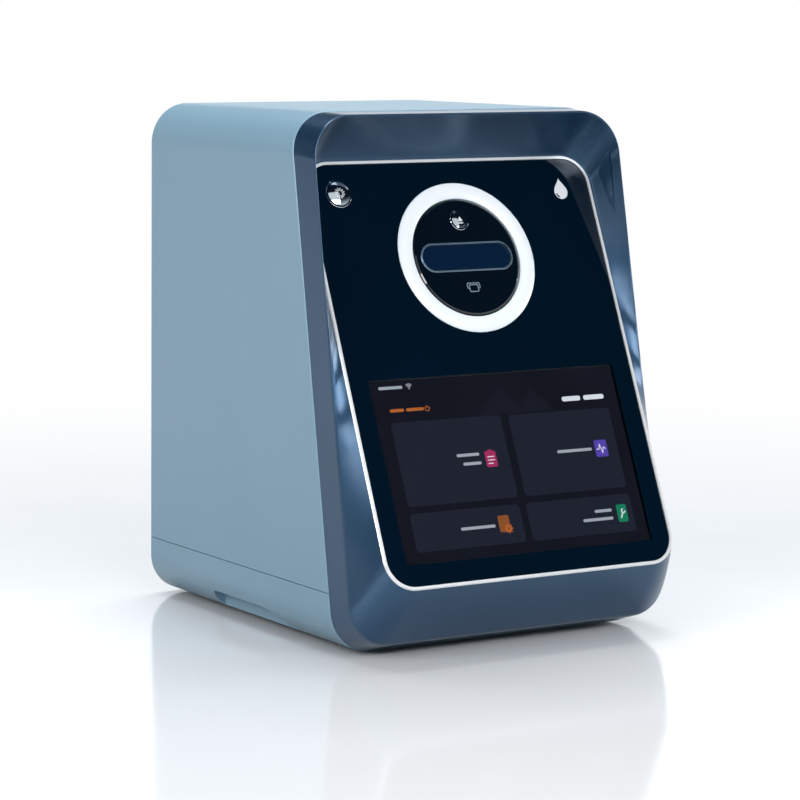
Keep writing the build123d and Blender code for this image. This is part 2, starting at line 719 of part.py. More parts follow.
# Front rim and glass
def front_bezel():
    """Moulded front rim: side band, rounded crest, flare, glass ledge and rear tongue."""
    band_rear = span_loop(housing_outline(SHELL_FRONT_BEVEL), on_rim(RIM_BAND))
    crest = span_loop(rim_outline(), on_rim(0))
    lip = span_loop(glass_outline(TRIM_OUTSET), on_panel(0))
    middle = HEIGHT / 2

    def bow(a, b):
        between = (a + b) / 2
        return between + Vector(0, FLARE_HOLLOW * (between.Z - middle) / middle, 0)

    flare = joined(crest, lip, bow)
    band_front = towards(crest, band_rear, RIM_EDGE)
    flare_start = towards(crest, flare, RIM_EDGE)
    ledge = glass_outline(TRIM_OUTSET - LEDGE_WIDTH)
    tongue_outer = housing_outline(SHELL_WALL + RIM_TONGUE_CLEARANCE)
    tongue_inner = housing_outline(SHELL_WALL + RIM_TONGUE_CLEARANCE + RIM_TONGUE_THICKNESS)
    inside = [
        lip,
        span_loop(glass_outline(TRIM_OUTSET), on_panel(LEDGE_FRONT)),
        span_loop(ledge, on_panel(LEDGE_FRONT)),
        span_loop(ledge, on_panel(LEDGE_BACK)),
        span_loop(glass_outline(TRIM_OUTSET), on_panel(LEDGE_BACK)),
        span_loop(rim_outline(RIM_WALL), on_rim(RIM_BACK)),
        span_loop(tongue_inner, on_rim(RIM_BAND + RIM_TONGUE)),
        span_loop(tongue_outer, on_rim(RIM_BAND + RIM_TONGUE)),
        span_loop(tongue_outer, on_rim(RIM_BAND)),
        band_rear,
    ]
    strips = [band_rear, band_front, *rounding(band_front, crest, flare_start), flare_start]
    faces = skin([flare_start, flare, lip])
    for loops in (strips, inside):
        for first, second in zip(loops, loops[1:]):
            faces += skin([first, second])
    bezel = closed_solid(faces)
    for x, rise in carrier_screw_places():
        top = LEDGE_BACK + CARRIER_SCREW_REACH
        bezel -= panel_disc(x, rise, CARRIER_SCREW_RADIUS, LEDGE_BACK, top)
    return bezel


def glass_trim():
    """Polished bevelled frame between the rim's flare and the glass."""
    outer = panel_prism(glass_outline(TRIM_OUTSET), LEDGE_FRONT, TRIM_RISE)
    outer = chamfer(outer.faces().sort_by(PANEL_OUT)[-1].edges(), TRIM_BEVEL)
    return outer - panel_prism(glass_outline(GLASS_CLEARANCE), LEDGE_FRONT, TRIM_RISE)


def front_glass():
    """Dark cover glass with round holes for the ring light and the power button."""
    glass = panel_prism(glass_outline(0), -GLASS_THICKNESS, 0)
    glass -= panel_disc(0, HUB_CENTRE, RING_OUTER_RADIUS + RING_CLEARANCE, -GLASS_THICKNESS, 0)
    hole = POWER_RADIUS + BUTTON_GAP + BUTTON_RING_WIDTH + GLASS_CLEARANCE
    return glass - panel_disc(POWER_X, POWER_RISE, hole, -GLASS_THICKNESS, 0)


def display_module():
    """Touch display bonded to the back of the glass."""
    back = -GLASS_THICKNESS - DISPLAY_THICKNESS
    module = panel_box(0, DISPLAY_CENTRE, DISPLAY_WIDTH, DISPLAY_LENGTH, back, -GLASS_THICKNESS)
    return chamfer(module.faces().sort_by(PANEL_OUT)[0].edges(), TRIM_BEVEL)


def carrier_screw_places():
    """Screw places along both sides of the carrier plate."""
    column = GLASS_WIDTH / 2 - CARRIER_SCREW_INSET
    low = GLASS_FOOT + GLASS_RADIUS
    high = GLASS_FOOT + GLASS_LENGTH - GLASS_RADIUS
    step = (high - low) / (CARRIER_SCREW_ROWS - 1)
    rows = [low + step * index for index in range(CARRIER_SCREW_ROWS)]
    return [(side * column, row) for row in rows for side in (-1, 1)]


def carrier_plate():
    """Sheet behind the glass with a display window, a hub hole and screw holes."""
    front = LEDGE_BACK
    plate = panel_prism(glass_outline(CARRIER_OUTSET), CARRIER_BACK, front)
    window = Pos(0, DISPLAY_CENTRE) * RectangleRounded(
        DISPLAY_WIDTH - 2 * CARRIER_WINDOW_INSET, DISPLAY_LENGTH - 2 * CARRIER_WINDOW_INSET,
        CARRIER_WINDOW_RADIUS)
    plate -= panel_prism(window, CARRIER_BACK, front)
    plate -= panel_disc(0, HUB_CENTRE, HUB_RADIUS - HUB_SKIRT_WALL, CARRIER_BACK, front)
    plate -= panel_disc(POWER_X, POWER_RISE, 2 * BUTTON_STEM_RADIUS, CARRIER_BACK, front)
    for x, rise in carrier_screw_places():
        plate -= panel_disc(x, rise, CARRIER_SCREW_RADIUS, CARRIER_BACK, front)
    return plate


def carrier_screws():
    """Screws that hold the carrier plate to the ledge of the rim."""
    screws = []
    for x, rise in carrier_screw_places():
        top = CARRIER_BACK - CARRIER_SCREW_HEAD
        head = panel_disc(x, rise, CARRIER_SCREW_HEAD_RADIUS, top, CARRIER_BACK)
        shank = panel_disc(x, rise, CARRIER_SCREW_RADIUS, CARRIER_BACK, LEDGE_BACK + CARRIER_SCREW_REACH)
        screws.append(head + shank)
    return Compound(screws)


# Ring light and hub
def hub_axis_plane():
    """Plane through the hub's axis, whose second axis is the panel's outward direction."""
    return Plane(origin=PANEL.from_local_coords((0, HUB_CENTRE, 0)), x_dir=(1, 0, 0),
                 z_dir=-PANEL.y_dir)


def spin(profile):
    """Solid of revolution about the hub's axis."""
    axis = Axis(PANEL.from_local_coords((0, HUB_CENTRE, 0)), PANEL.z_dir)
    return revolve(hub_axis_plane() * profile, axis)


def light_ring():
    """White diffuser ring with a crowned face and a bonding flange under the glass."""
    middle = (RING_OUTER_RADIUS + RING_INNER_RADIUS) / 2
    back = -GLASS_THICKNESS - RING_FLANGE_THICKNESS
    rim = RING_OUTER_RADIUS + RING_FLANGE
    face = ThreePointArc((RING_INNER_RADIUS, RING_EDGE_RISE), (middle, RING_CROWN),
                         (RING_OUTER_RADIUS, RING_EDGE_RISE))
    body = Polyline((RING_OUTER_RADIUS, RING_EDGE_RISE), (RING_OUTER_RADIUS, -GLASS_THICKNESS),
                    (RING_INNER_RADIUS, -GLASS_THICKNESS), (RING_INNER_RADIUS, RING_EDGE_RISE))
    inner = RING_OUTER_RADIUS - RING_FLANGE_THICKNESS
    flange = Rectangle(rim - inner, RING_FLANGE_THICKNESS)
    flange = Pos((inner + rim) / 2, (back - GLASS_THICKNESS) / 2) * flange
    return spin(make_face(face + body)) + spin(flange)


def led_board():
    """Round board with a ring of light chips, seated on the hub's flange."""
    back = LEDGE_BACK + HUB_FLANGE_THICKNESS
    front = back + LED_BOARD_THICKNESS
    inner = HUB_RADIUS + RING_CLEARANCE
    board = panel_disc(0, HUB_CENTRE, HUB_FLANGE_RADIUS, back, front)
    board -= panel_disc(0, HUB_CENTRE, inner, back, front)
    middle = (RING_OUTER_RADIUS + RING_INNER_RADIUS) / 2
    for index in range(LED_COUNT):
        turn = Rot(0, 0, 360 / LED_COUNT * index) * Pos(middle, 0)
        place = PANEL.offset(front) * Pos(0, HUB_CENTRE) * turn
        board += extrude(place * Rectangle(LED_SIZE, LED_SIZE), LED_HEIGHT)
    return board


def slot_prism(outset, rise, length):
    """Rounded slot outline on the panel, run straight to the rear from a rise over the glass."""
    width = SLOT_WIDTH - 2 * outset
    height = SLOT_HEIGHT - 2 * outset
    outline = PANEL * Pos(0, SLOT_CENTRE) * SlotOverall(width, height)
    return extrude(Pos(0, -rise / PANEL_COS, 0) * outline, length, dir=(0, 1, 0))


def centre_hub():
    """Black disc inside the ring light, with the cartridge slot, skirt and flange."""
    inner = HUB_RADIUS - HUB_SKIRT_WALL
    face_back = HUB_RISE - HUB_FACE_THICKNESS
    flange_front = LEDGE_BACK + HUB_FLANGE_THICKNESS
    profile = Polyline((0, HUB_RISE), (HUB_RADIUS - HUB_BEVEL, HUB_RISE),
                       (HUB_RADIUS, HUB_RISE - HUB_BEVEL / 2), (HUB_RADIUS, flange_front),
                       (HUB_FLANGE_RADIUS, flange_front), (HUB_FLANGE_RADIUS, LEDGE_BACK),
                       (inner, LEDGE_BACK), (inner, face_back), (0, face_back), close=True)
    hub = spin(make_face(profile))
    hub -= slot_prism(0, HUB_RISE + CUT_REACH, SLOT_HEIGHT + HUB_FACE_THICKNESS)
    hole = EJECT_RADIUS + BUTTON_GAP + BUTTON_RING_WIDTH
    hub -= panel_disc(0, EJECT_RISE, hole, face_back, HUB_RISE)
    for side in (-1, 1):
        place = side * (SWITCH_BOARD_WIDTH / 2 - STANDOFF_RADIUS)
        hub += panel_disc(place, EJECT_RISE, STANDOFF_RADIUS, eject_board_front(), face_back)
    return hub


def slot_trim():
    """Bright bevelled liner round the cartridge slot."""
    outer = slot_prism(0, SLOT_TRIM_RISE + HUB_RISE, SLOT_TRIM_DEPTH)
    outer = chamfer(outer.faces().sort_by(PANEL_OUT)[-1].edges(), SLOT_TRIM_BEVEL)
    mouth = SLOT_TRIM_RISE + HUB_RISE + CUT_REACH
    return outer - slot_prism(SLOT_TRIM_WIDTH, mouth, SLOT_TRIM_DEPTH + 2 * CUT_REACH)


# Front buttons
def button_ring(x, rise, radius, back, face):
    """Surround that guides a round button."""
    inner = radius + BUTTON_GAP
    ring = panel_disc(x, rise, inner + BUTTON_RING_WIDTH, back, face + BUTTON_RING_RISE)
    ring = chamfer(ring.faces().sort_by(PANEL_OUT)[-1].edges(), BUTTON_RING_RISE / 2)
    return ring - panel_disc(x, rise, inner, back, face + BUTTON_RING_RISE)


def button_cap(x, rise, radius, dome, back, face):
    """Domed cap with a retaining flange and a stem, square to the panel."""
    edge = face + BUTTON_EDGE_RISE
    plane = Plane(origin=PANEL.from_local_coords((x, rise, 0)), x_dir=(1, 0, 0), z_dir=-PANEL.y_dir)
    axis = Axis(PANEL.from_local_coords((x, rise, 0)), PANEL.z_dir)
    shoulder = edge + dome * (1 - DOME_ARC_SHARE ** 2)
    crown = ThreePointArc((0, edge + dome), (radius * DOME_ARC_SHARE, shoulder), (radius, edge))
    flange_front = back - BUTTON_GAP
    flange_back = flange_front - BUTTON_FLANGE_THICKNESS
    stem_end = flange_back - BUTTON_STEM_LENGTH
    sides = Polyline((radius, edge), (radius, flange_front),
                     (radius + BUTTON_FLANGE, flange_front), (radius + BUTTON_FLANGE, flange_back),
                     (BUTTON_STEM_RADIUS, flange_back), (BUTTON_STEM_RADIUS, stem_end),
                     (0, stem_end), (0, edge + dome))
    return revolve(plane * make_face(crown + sides), axis)


def stem_end_rise(back):
    """Where a button's stem ends, for a surround that ends at the given back."""
    return back - BUTTON_GAP - BUTTON_FLANGE_THICKNESS - BUTTON_STEM_LENGTH


def power_board_front():
    """Front face of the power switch's board."""
    return stem_end_rise(-GLASS_THICKNESS) - POWER_TRAVEL - TACT_GAP - TACT_HEIGHT


def eject_board_front():
    """Front face of the eject switch's board."""
    return stem_end_rise(HUB_RISE - HUB_FACE_THICKNESS) - EJECT_TRAVEL - TACT_GAP - TACT_HEIGHT


def switch_board(x, rise, front):
    """Small board with a tact switch behind a button."""
    board = panel_box(x, rise, SWITCH_BOARD_WIDTH, SWITCH_BOARD_LENGTH, front - BOARD_THICKNESS, front)
    body = panel_box(x, rise, TACT_SIZE, TACT_SIZE, front, front + TACT_HEIGHT / 2)
    return board + body + panel_disc(x, rise, TACT_SIZE / 3, front, front + TACT_HEIGHT)


# Cartridge tray and its drive
def door_back_plane():
    """Slanting back of the tray door, where the tray starts."""
    start = PANEL.from_local_coords((0, 0, HUB_RISE - DOOR_RECESS)) + Vector(0, DOOR_THICKNESS, 0)
    return Plane(origin=start, x_dir=(1, 0, 0), z_dir=PANEL.z_dir)


def tray_door():
    """Rounded door that closes the slot, fixed to the tray."""
    return slot_prism(DOOR_OUTSET, HUB_RISE - DOOR_RECESS, DOOR_THICKNESS)


def cartridge_tray():
    """Tray with a cartridge pocket, a light window and a thumb notch."""
    front = SLOT_Y - TRAY_THICKNESS
    tray = block(0, (front + TRAY_REAR) / 2, TRAY_BOTTOM, TRAY_WIDTH, TRAY_REAR - front, TRAY_THICKNESS)
    tray = split(tray, bisect_by=door_back_plane(), keep=Keep.BOTTOM)
    tray = fillet(tray.edges().filter_by(Axis.Z).group_by(Axis.Y)[-1], TRAY_EDGE_ROUND)
    pocket_front = SLOT_Y + DOOR_THICKNESS + TRAY_THICKNESS / 2 + POCKET_FRONT_WALL
    pocket_y = pocket_front + POCKET_LENGTH / 2
    floor = TRAY_TOP - POCKET_DEPTH
    pocket = extrude(RectangleRounded(POCKET_WIDTH, POCKET_LENGTH, POCKET_RADIUS), POCKET_DEPTH)
    tray -= Pos(0, pocket_y, floor) * pocket
    window = extrude(RectangleRounded(WINDOW_WIDTH, WINDOW_LENGTH, POCKET_RADIUS), TRAY_THICKNESS)
    tray -= Pos(0, pocket_y, TRAY_BOTTOM) * window
    notch = post(0, pocket_front + POCKET_LENGTH, floor, TRAY_TOP, NOTCH_RADIUS)
    return tray - notch


def involute(radius, angle):
    """Point of an involute of the base circle at a roll angle."""
    return (radius * (math.cos(angle) + angle * math.sin(angle)),
            radius * (math.sin(angle) - angle * math.cos(angle)))


def pinion_outline():
    """Involute spur outline with every tooth thinned by half the backlash."""
    pitch = PINION_PITCH_RADIUS
    base = pitch * math.cos(math.radians(PRESSURE_ANGLE))
    tip = pitch + GEAR_MODULE
    root = pitch - GEAR_DEDENDUM * GEAR_MODULE
    roll_pitch = math.sqrt((pitch / base) ** 2 - 1)
    roll_tip = math.sqrt((tip / base) ** 2 - 1)
    x, y = involute(base, roll_pitch)
    half_tooth = math.pi / (2 * PINION_TEETH) - GEAR_BACKLASH / (4 * pitch)
    shift = half_tooth + math.atan2(y, x)
    flank = []
    for step in range(4):
        radius_x, radius_y = involute(base, roll_tip * step / 3)
        reach = math.hypot(radius_x, radius_y)
        angle = shift - math.atan2(radius_y, radius_x)
        flank.append((reach, angle))
    start = flank[0][1]
    outline = [(root, -start)] + [(reach, -angle) for reach, angle in flank]
    outline += [(reach, angle) for reach, angle in reversed(flank)] + [(root, start)]
    points = []
    for tooth in range(PINION_TEETH):
        turn = 2 * math.pi * tooth / PINION_TEETH
        for reach, angle in outline:
            points.append((reach * math.cos(angle + turn), reach * math.sin(angle + turn)))
    return make_face(Polyline(*points, close=True))


def drive_pinion():
    """Pinion under the tray with its shaft down into the tray motor."""
    top = TRAY_BOTTOM - GEAR_TRAY_GAP
    low = top - PINION_THICKNESS
    outline = Rot(0, 0, 180 / PINION_TEETH) * pinion_outline()
    gear = Pos(PINION_X, PINION_Y, low) * extrude(outline, PINION_THICKNESS)
    collar = post(PINION_X, PINION_Y, DECK_TOP + GEAR_TRAY_GAP, low, 2 * PINION_SHAFT_RADIUS)
    shaft = post(PINION_X, PINION_Y, DECK_BOTTOM - PINION_SHAFT_DEPTH, low, PINION_SHAFT_RADIUS)
    return gear + collar + shaft


def tray_rack():
    """Straight rack under the tray whose teeth face the pinion."""
    addendum = GEAR_MODULE
    dedendum = GEAR_DEDENDUM * GEAR_MODULE
    lean = math.tan(math.radians(PRESSURE_ANGLE))
    half_tooth = TOOTH_PITCH / 4 - GEAR_BACKLASH / 4
    ahead = RACK_END_TEETH
    behind = math.ceil(TRAY_STROKE / TOOTH_PITCH) + RACK_END_TEETH
    root_x = RACK_PITCH_X + dedendum
    tip_x = RACK_PITCH_X - addendum
    back_x = root_x + RACK_BACK
    front = PINION_Y - (ahead + 0.5) * TOOTH_PITCH
    rear = PINION_Y + (behind + 0.5) * TOOTH_PITCH
    points = [(back_x, rear), (back_x, front), (root_x, front)]
    for tooth in range(-ahead, behind + 1):
        y = PINION_Y + tooth * TOOTH_PITCH
        foot = half_tooth + dedendum * lean
        crest = half_tooth - addendum * lean
        points += [(root_x, y - foot), (tip_x, y - crest), (tip_x, y + crest), (root_x, y + foot)]
    points.append((root_x, rear))
    return Pos(0, 0, RACK_BOTTOM) * extrude(make_face(Polyline(*points, close=True)), RACK_HEIGHT)


def tray_guides():
    """Two channels on the deck that carry the sides of the tray."""
    guides = []
    length = GUIDE_REAR - GUIDE_FRONT
    middle = (GUIDE_REAR + GUIDE_FRONT) / 2
    top = TRAY_TOP + GUIDE_CLEARANCE + GUIDE_WALL
    outer = TRAY_WIDTH / 2 + GUIDE_CLEARANCE + GUIDE_WALL
    inner = TRAY_WIDTH / 2 - GUIDE_LIP
    for side in (-1, 1):
        guide = block(side * (outer + inner) / 2, middle, DECK_TOP, outer - inner, length, top - DECK_TOP)
        room = TRAY_WIDTH + 2 * GUIDE_CLEARANCE
        low = TRAY_BOTTOM - GUIDE_CLEARANCE
        guide -= block(0, middle, low, room, length, TRAY_THICKNESS + 2 * GUIDE_CLEARANCE)
        guides.append(guide)
    return Compound(guides)


def tray_deck():
    """Plate across the side plates that carries the guides and the tray motor."""
    width = FRAME_SPACING - 2 * FRAME_SHEET
    front = frame_front_y(DECK_TOP)
    deck = block(0, (front + FRAME_REAR) / 2, DECK_BOTTOM, width, FRAME_REAR - front, DECK_THICKNESS)
    deck -= post(0, OPTIC_Y, DECK_BOTTOM, DECK_TOP, OPTIC_HOLE_RADIUS)
    return deck - post(PINION_X, PINION_Y, DECK_BOTTOM, DECK_TOP, 2 * PINION_SHAFT_RADIUS)


def motor(x, y, top, size, length, corner, bore):
    """Square stepper motor hung below a height, bored for its shaft."""
    body = extrude(RectangleRounded(size, size, corner), -length)
    body = Pos(x, y, top) * body
    return body - post(x, y, top - length * MOTOR_BORE_SHARE, top, bore)


def tray_motor():
    """Motor under the deck that turns the pinion."""
    return motor(PINION_X, PINION_Y, DECK_BOTTOM, TRAY_MOTOR_SIZE, TRAY_MOTOR_LENGTH,
                 TRAY_MOTOR_CORNER, PINION_SHAFT_RADIUS + PINION_BORE_CLEARANCE)


# Inner frame
def frame_front_y(z):
    """Front edge of the side plates at height z, kept clear of the glass front."""
    slanted = PANEL_FOOT_Y + (z * PANEL_SIN + FRAME_PANEL_GAP) / PANEL_COS
    return max(slanted, FRAME_FRONT)


def frame_slant_start():
    """Height where the front edge of the side plates starts to lean."""
    return ((FRAME_FRONT - PANEL_FOOT_Y) * PANEL_COS - FRAME_PANEL_GAP) / PANEL_SIN


def side_plates():
    """Two folded side plates with leaning front edges, feet and lightening windows."""
    knee = frame_slant_start()
    head = frame_front_y(FRAME_TOP)
    outline = Polyline((FRAME_FRONT, CHASSIS_HEIGHT), (FRAME_REAR, CHASSIS_HEIGHT),
                       (FRAME_REAR, FRAME_TOP), (head, FRAME_TOP), (FRAME_FRONT, knee), close=True)
    sheet = make_face(outline)
    margin = FRAME_CUTOUT_MARGIN
    low = CHASSIS_HEIGHT + margin
    high = FOCUS_FRAME_BOTTOM - margin
    corner = min(FRAME_CUTOUT_RADIUS, (high - low) / 3)
    window = RectangleRounded(FRAME_REAR - FRAME_FRONT - 4 * margin, high - low, corner)
    sheet -= Pos((FRAME_FRONT + FRAME_REAR) / 2, (low + high) / 2) * window
    plates = []
    for side in (-1, 1):
        inner = side * (FRAME_SPACING / 2 - FRAME_SHEET)
        plate = extrude(Plane.YZ.offset(min(inner, side * FRAME_SPACING / 2)) * sheet, FRAME_SHEET)
        foot_x = side * (FRAME_SPACING / 2 + FRAME_FOOT / 2)
        middle = (FRAME_FRONT + FRAME_REAR) / 2
        plate += block(foot_x, middle, CHASSIS_HEIGHT, FRAME_FOOT, FRAME_REAR - FRAME_FRONT, FRAME_SHEET)
        plates.append(plate)
    return Compound(plates)


def chassis_posts():
    """Posts between the base and the chassis plate, bored for screws."""
    posts = []
    for x, y in post_places():
        piece = post(x, y, BASE_FLOOR, CHASSIS_BOTTOM, POST_RADIUS)
        posts.append(piece - post(x, y, BASE_FLOOR, CHASSIS_BOTTOM, MACHINE_SCREW_HOLE))
    return Compound(posts)


def chassis_plate():
    """Steel plate on the posts that carries the inner frame and the power supply."""
    length = CHASSIS_REAR - CHASSIS_FRONT
    plate = extrude(RectangleRounded(CHASSIS_WIDTH, length, CHASSIS_CORNER), CHASSIS_THICKNESS)
    plate = Pos(0, (CHASSIS_REAR + CHASSIS_FRONT) / 2, CHASSIS_BOTTOM) * plate
    for x, y in post_places():
        plate -= post(x, y, CHASSIS_BOTTOM, CHASSIS_HEIGHT, MACHINE_SCREW_HOLE)
    return plate


def case_screws():
    """Screws through the base into the posts from below."""
    screws = []
    for x, y in post_places():
        seat = FOOT_HEIGHT + CASE_SCREW_SINK
        head = post(x, y, seat - CASE_SCREW_SINK, seat, MACHINE_SCREW_HEAD_RADIUS)
        shank = post(x, y, seat, (BASE_FLOOR + CHASSIS_BOTTOM) / 2 - SCREW_END_GAP, MACHINE_SCREW_RADIUS)
        screws.append(head + shank)
    return Compound(screws)


def chassis_screws():
    """Screws that hold the chassis plate down on its posts."""
    screws = []
    for x, y in post_places():
        head = post(x, y, CHASSIS_HEIGHT, CHASSIS_HEIGHT + MACHINE_SCREW_HEAD, MACHINE_SCREW_HEAD_RADIUS)
        end = (BASE_FLOOR + CHASSIS_BOTTOM) / 2 + SCREW_END_GAP
        shank = post(x, y, end, CHASSIS_HEIGHT, MACHINE_SCREW_RADIUS)
        screws.append(head + shank)
    return Compound(screws)


# Microscope
def focus_frame():
    """C-shaped casting between the side plates that holds the focus drive."""
    width = FRAME_SPACING - 2 * FRAME_SHEET
    height = FOCUS_FRAME_TOP - FOCUS_FRAME_BOTTOM
    back_y = FOCUS_BACK_Y + FOCUS_FRAME_SHEET / 2
    frame = block(0, back_y, FOCUS_FRAME_BOTTOM, width, FOCUS_FRAME_SHEET, height)
    shelf_width = FOCUS_ROD_SPACING + 4 * FOCUS_ROD_RADIUS
    for low in (FOCUS_FRAME_BOTTOM, FOCUS_FRAME_TOP - FOCUS_FRAME_SHEET):
        frame += block(0, FOCUS_Y, low, shelf_width, FOCUS_FRAME_DEPTH, FOCUS_FRAME_SHEET)
    for side in (-1, 1):
        x = side * FOCUS_ROD_SPACING / 2
        frame -= post(x, FOCUS_Y, FOCUS_FRAME_BOTTOM, FOCUS_FRAME_TOP, FOCUS_ROD_RADIUS)
    bore = FOCUS_SCREW_RADIUS + FOCUS_BEARING_CLEARANCE
    return frame - post(0, FOCUS_Y, FOCUS_FRAME_BOTTOM, FOCUS_FRAME_TOP, bore)


def guide_rods():
    """Two ground rods held in the focus frame's shelves."""
    rods = []
    for side in (-1, 1):
        x = side * FOCUS_ROD_SPACING / 2
        rods.append(post(x, FOCUS_Y, FOCUS_FRAME_BOTTOM, FOCUS_FRAME_TOP, FOCUS_ROD_RADIUS))
    return Compound(rods)


def focus_carriage():
    """Carriage on the rods with a clamp round the camera tube."""
    width = FOCUS_ROD_SPACING + 4 * FOCUS_ROD_RADIUS
    low = FOCUS_MIDDLE - FOCUS_CARRIAGE_HEIGHT / 2
    high = FOCUS_MIDDLE + FOCUS_CARRIAGE_HEIGHT / 2
    carriage = block(0, FOCUS_Y, low, width, FOCUS_CARRIAGE_DEPTH, FOCUS_CARRIAGE_HEIGHT)
    clamp = post(0, OPTIC_Y, low, high, TUBE_RADIUS + FOCUS_CLAMP_WALL)
    arm_depth = FOCUS_Y - OPTIC_Y
    arm = block(0, (FOCUS_Y + OPTIC_Y) / 2, low, 2 * TUBE_RADIUS, arm_depth, FOCUS_CARRIAGE_HEIGHT)
    carriage += clamp + arm
    carriage -= post(0, OPTIC_Y, low, high, TUBE_RADIUS)
    running = FOCUS_ROD_RADIUS + FOCUS_BEARING_CLEARANCE
    for side in (-1, 1):
        carriage -= post(side * FOCUS_ROD_SPACING / 2, FOCUS_Y, low, high, running)
    return carriage - post(0, FOCUS_Y, low, high, FOCUS_SCREW_RADIUS + FOCUS_BEARING_CLEARANCE)


def focus_screw():
    """Fine screw with a thrust collar, from the motor up through both shelves."""
    low = FOCUS_FRAME_BOTTOM - FOCUS_MOTOR_LENGTH / 2
    screw = post(0, FOCUS_Y, low, FOCUS_FRAME_TOP, FOCUS_SCREW_RADIUS)
    collar_low = FOCUS_FRAME_BOTTOM + FOCUS_FRAME_SHEET + GUIDE_CLEARANCE
    return screw + post(0, FOCUS_Y, collar_low, collar_low + FOCUS_COLLAR_HEIGHT, FOCUS_COLLAR_RADIUS)


def focus_motor():
    """Stepper motor under the focus frame's lower shelf."""
    return motor(0, FOCUS_Y, FOCUS_FRAME_BOTTOM, FOCUS_MOTOR_SIZE, FOCUS_MOTOR_LENGTH,
                 TRAY_MOTOR_CORNER, FOCUS_SCREW_RADIUS + FOCUS_BEARING_CLEARANCE)


def objective_lens():
    """Microscope objective with a tapered nose, pointing up at the cartridge."""
    nose = OBJECTIVE_TOP - OBJECTIVE_TIP_LENGTH
    knurl = OBJECTIVE_BOTTOM + OBJECTIVE_TIP_LENGTH
    profile = Polyline((0, OBJECTIVE_BOTTOM), (OBJECTIVE_RADIUS, OBJECTIVE_BOTTOM),
                       (OBJECTIVE_RADIUS, knurl), (OBJECTIVE_RADIUS - OBJECTIVE_WAIST, knurl),
                       (OBJECTIVE_RADIUS - OBJECTIVE_WAIST, nose), (OBJECTIVE_TIP_RADIUS, OBJECTIVE_TOP),
                       (0, OBJECTIVE_TOP), close=True)
    lens = revolve(Plane.XZ * make_face(profile), Axis.Z)
    return Pos(0, OPTIC_Y, 0) * lens


def camera_tube():
    """Blackened tube between the objective and the camera."""
    tube = post(0, OPTIC_Y, TUBE_BOTTOM, OBJECTIVE_BOTTOM, TUBE_RADIUS)
    return tube - post(0, OPTIC_Y, TUBE_BOTTOM, OBJECTIVE_BOTTOM, TUBE_RADIUS - TUBE_WALL)


def camera_module():
    """Finned camera body at the foot of the tube."""
    body = extrude(RectangleRounded(CAMERA_SIZE, CAMERA_SIZE, CAMERA_CORNER), -CAMERA_HEIGHT)
    body = Pos(0, OPTIC_Y, TUBE_BOTTOM) * body
    groove = CAMERA_HEIGHT / (2 * LAMP_FINS)
    room = block(0, OPTIC_Y, 0, 2 * CAMERA_SIZE, 2 * CAMERA_SIZE, groove)
    core = block(0, OPTIC_Y, 0, CAMERA_SIZE - 2 * LAMP_FIN_DEPTH, CAMERA_SIZE - 2 * LAMP_FIN_DEPTH, groove)
    for index in range(LAMP_FINS - 1):
        low = TUBE_BOTTOM - CAMERA_HEIGHT + (2 * index + 1.5) * groove
        body -= Pos(0, 0, low) * (room - core)
    return body


def lamp_bridge():
    """Bar across the side plates that holds the lamp above the tray."""
    width = FRAME_SPACING - 2 * FRAME_SHEET
    bar = block(0, OPTIC_Y, BRIDGE_BOTTOM, width, BRIDGE_WIDTH, BRIDGE_THICKNESS)
    return bar - post(0, OPTIC_Y, BRIDGE_BOTTOM, BRIDGE_BOTTOM + BRIDGE_THICKNESS, LAMP_RADIUS)


def lamp_housing():
    """Finned lamp housing, open below for the condenser lens."""
    lamp = post(0, OPTIC_Y, LAMP_BOTTOM, LAMP_BOTTOM + LAMP_HEIGHT, LAMP_RADIUS)
    fin = LAMP_HEIGHT / 2 / (2 * LAMP_FINS)
    top = LAMP_BOTTOM + LAMP_HEIGHT
    for index in range(LAMP_FINS - 1):
        low = top - (2 * index + 2) * fin
        groove = post(0, OPTIC_Y, low, low + fin, LAMP_RADIUS) - \
            post(0, OPTIC_Y, low, low + fin, LAMP_RADIUS - LAMP_FIN_DEPTH)
        lamp -= groove
    lamp += post(0, OPTIC_Y, BRIDGE_BOTTOM + BRIDGE_THICKNESS, BRIDGE_BOTTOM + BRIDGE_THICKNESS + fin,
                 LAMP_RADIUS + LAMP_WALL) - post(0, OPTIC_Y, LAMP_BOTTOM, top, LAMP_RADIUS - LAMP_FIN_DEPTH)
    return lamp - post(0, OPTIC_Y, LAMP_BOTTOM, LAMP_BOTTOM + LAMP_HEIGHT / 2, CONDENSER_RADIUS)


def condenser_lens():
    """Bulged lens pressed into the foot of the lamp housing."""
    low = LAMP_BOTTOM + CONDENSER_BULGE
    high = low + CONDENSER_THICKNESS
    shoulder = LAMP_BOTTOM + CONDENSER_BULGE * DOME_ARC_SHARE ** 2
    arc = ThreePointArc((0, LAMP_BOTTOM), (CONDENSER_RADIUS * DOME_ARC_SHARE, shoulder),
                        (CONDENSER_RADIUS, low))
    sides = Polyline((CONDENSER_RADIUS, low), (CONDENSER_RADIUS, high), (0, high), (0, LAMP_BOTTOM))
    return Pos(0, OPTIC_Y, 0) * revolve(Plane.XZ * make_face(arc + sides), Axis.Z)


# Electronics
def main_board_places():
    """Corner places of the main board as (y, z)."""
    half_length = MAIN_BOARD_LENGTH / 2 - 2 * STANDOFF_RADIUS
    half_height = MAIN_BOARD_HEIGHT / 2 - 2 * STANDOFF_RADIUS
    middle = MAIN_BOARD_BOTTOM + MAIN_BOARD_HEIGHT / 2
    return [(MAIN_BOARD_CENTRE + a * half_length, middle + b * half_height)
            for a in (-1, 1) for b in (-1, 1)]


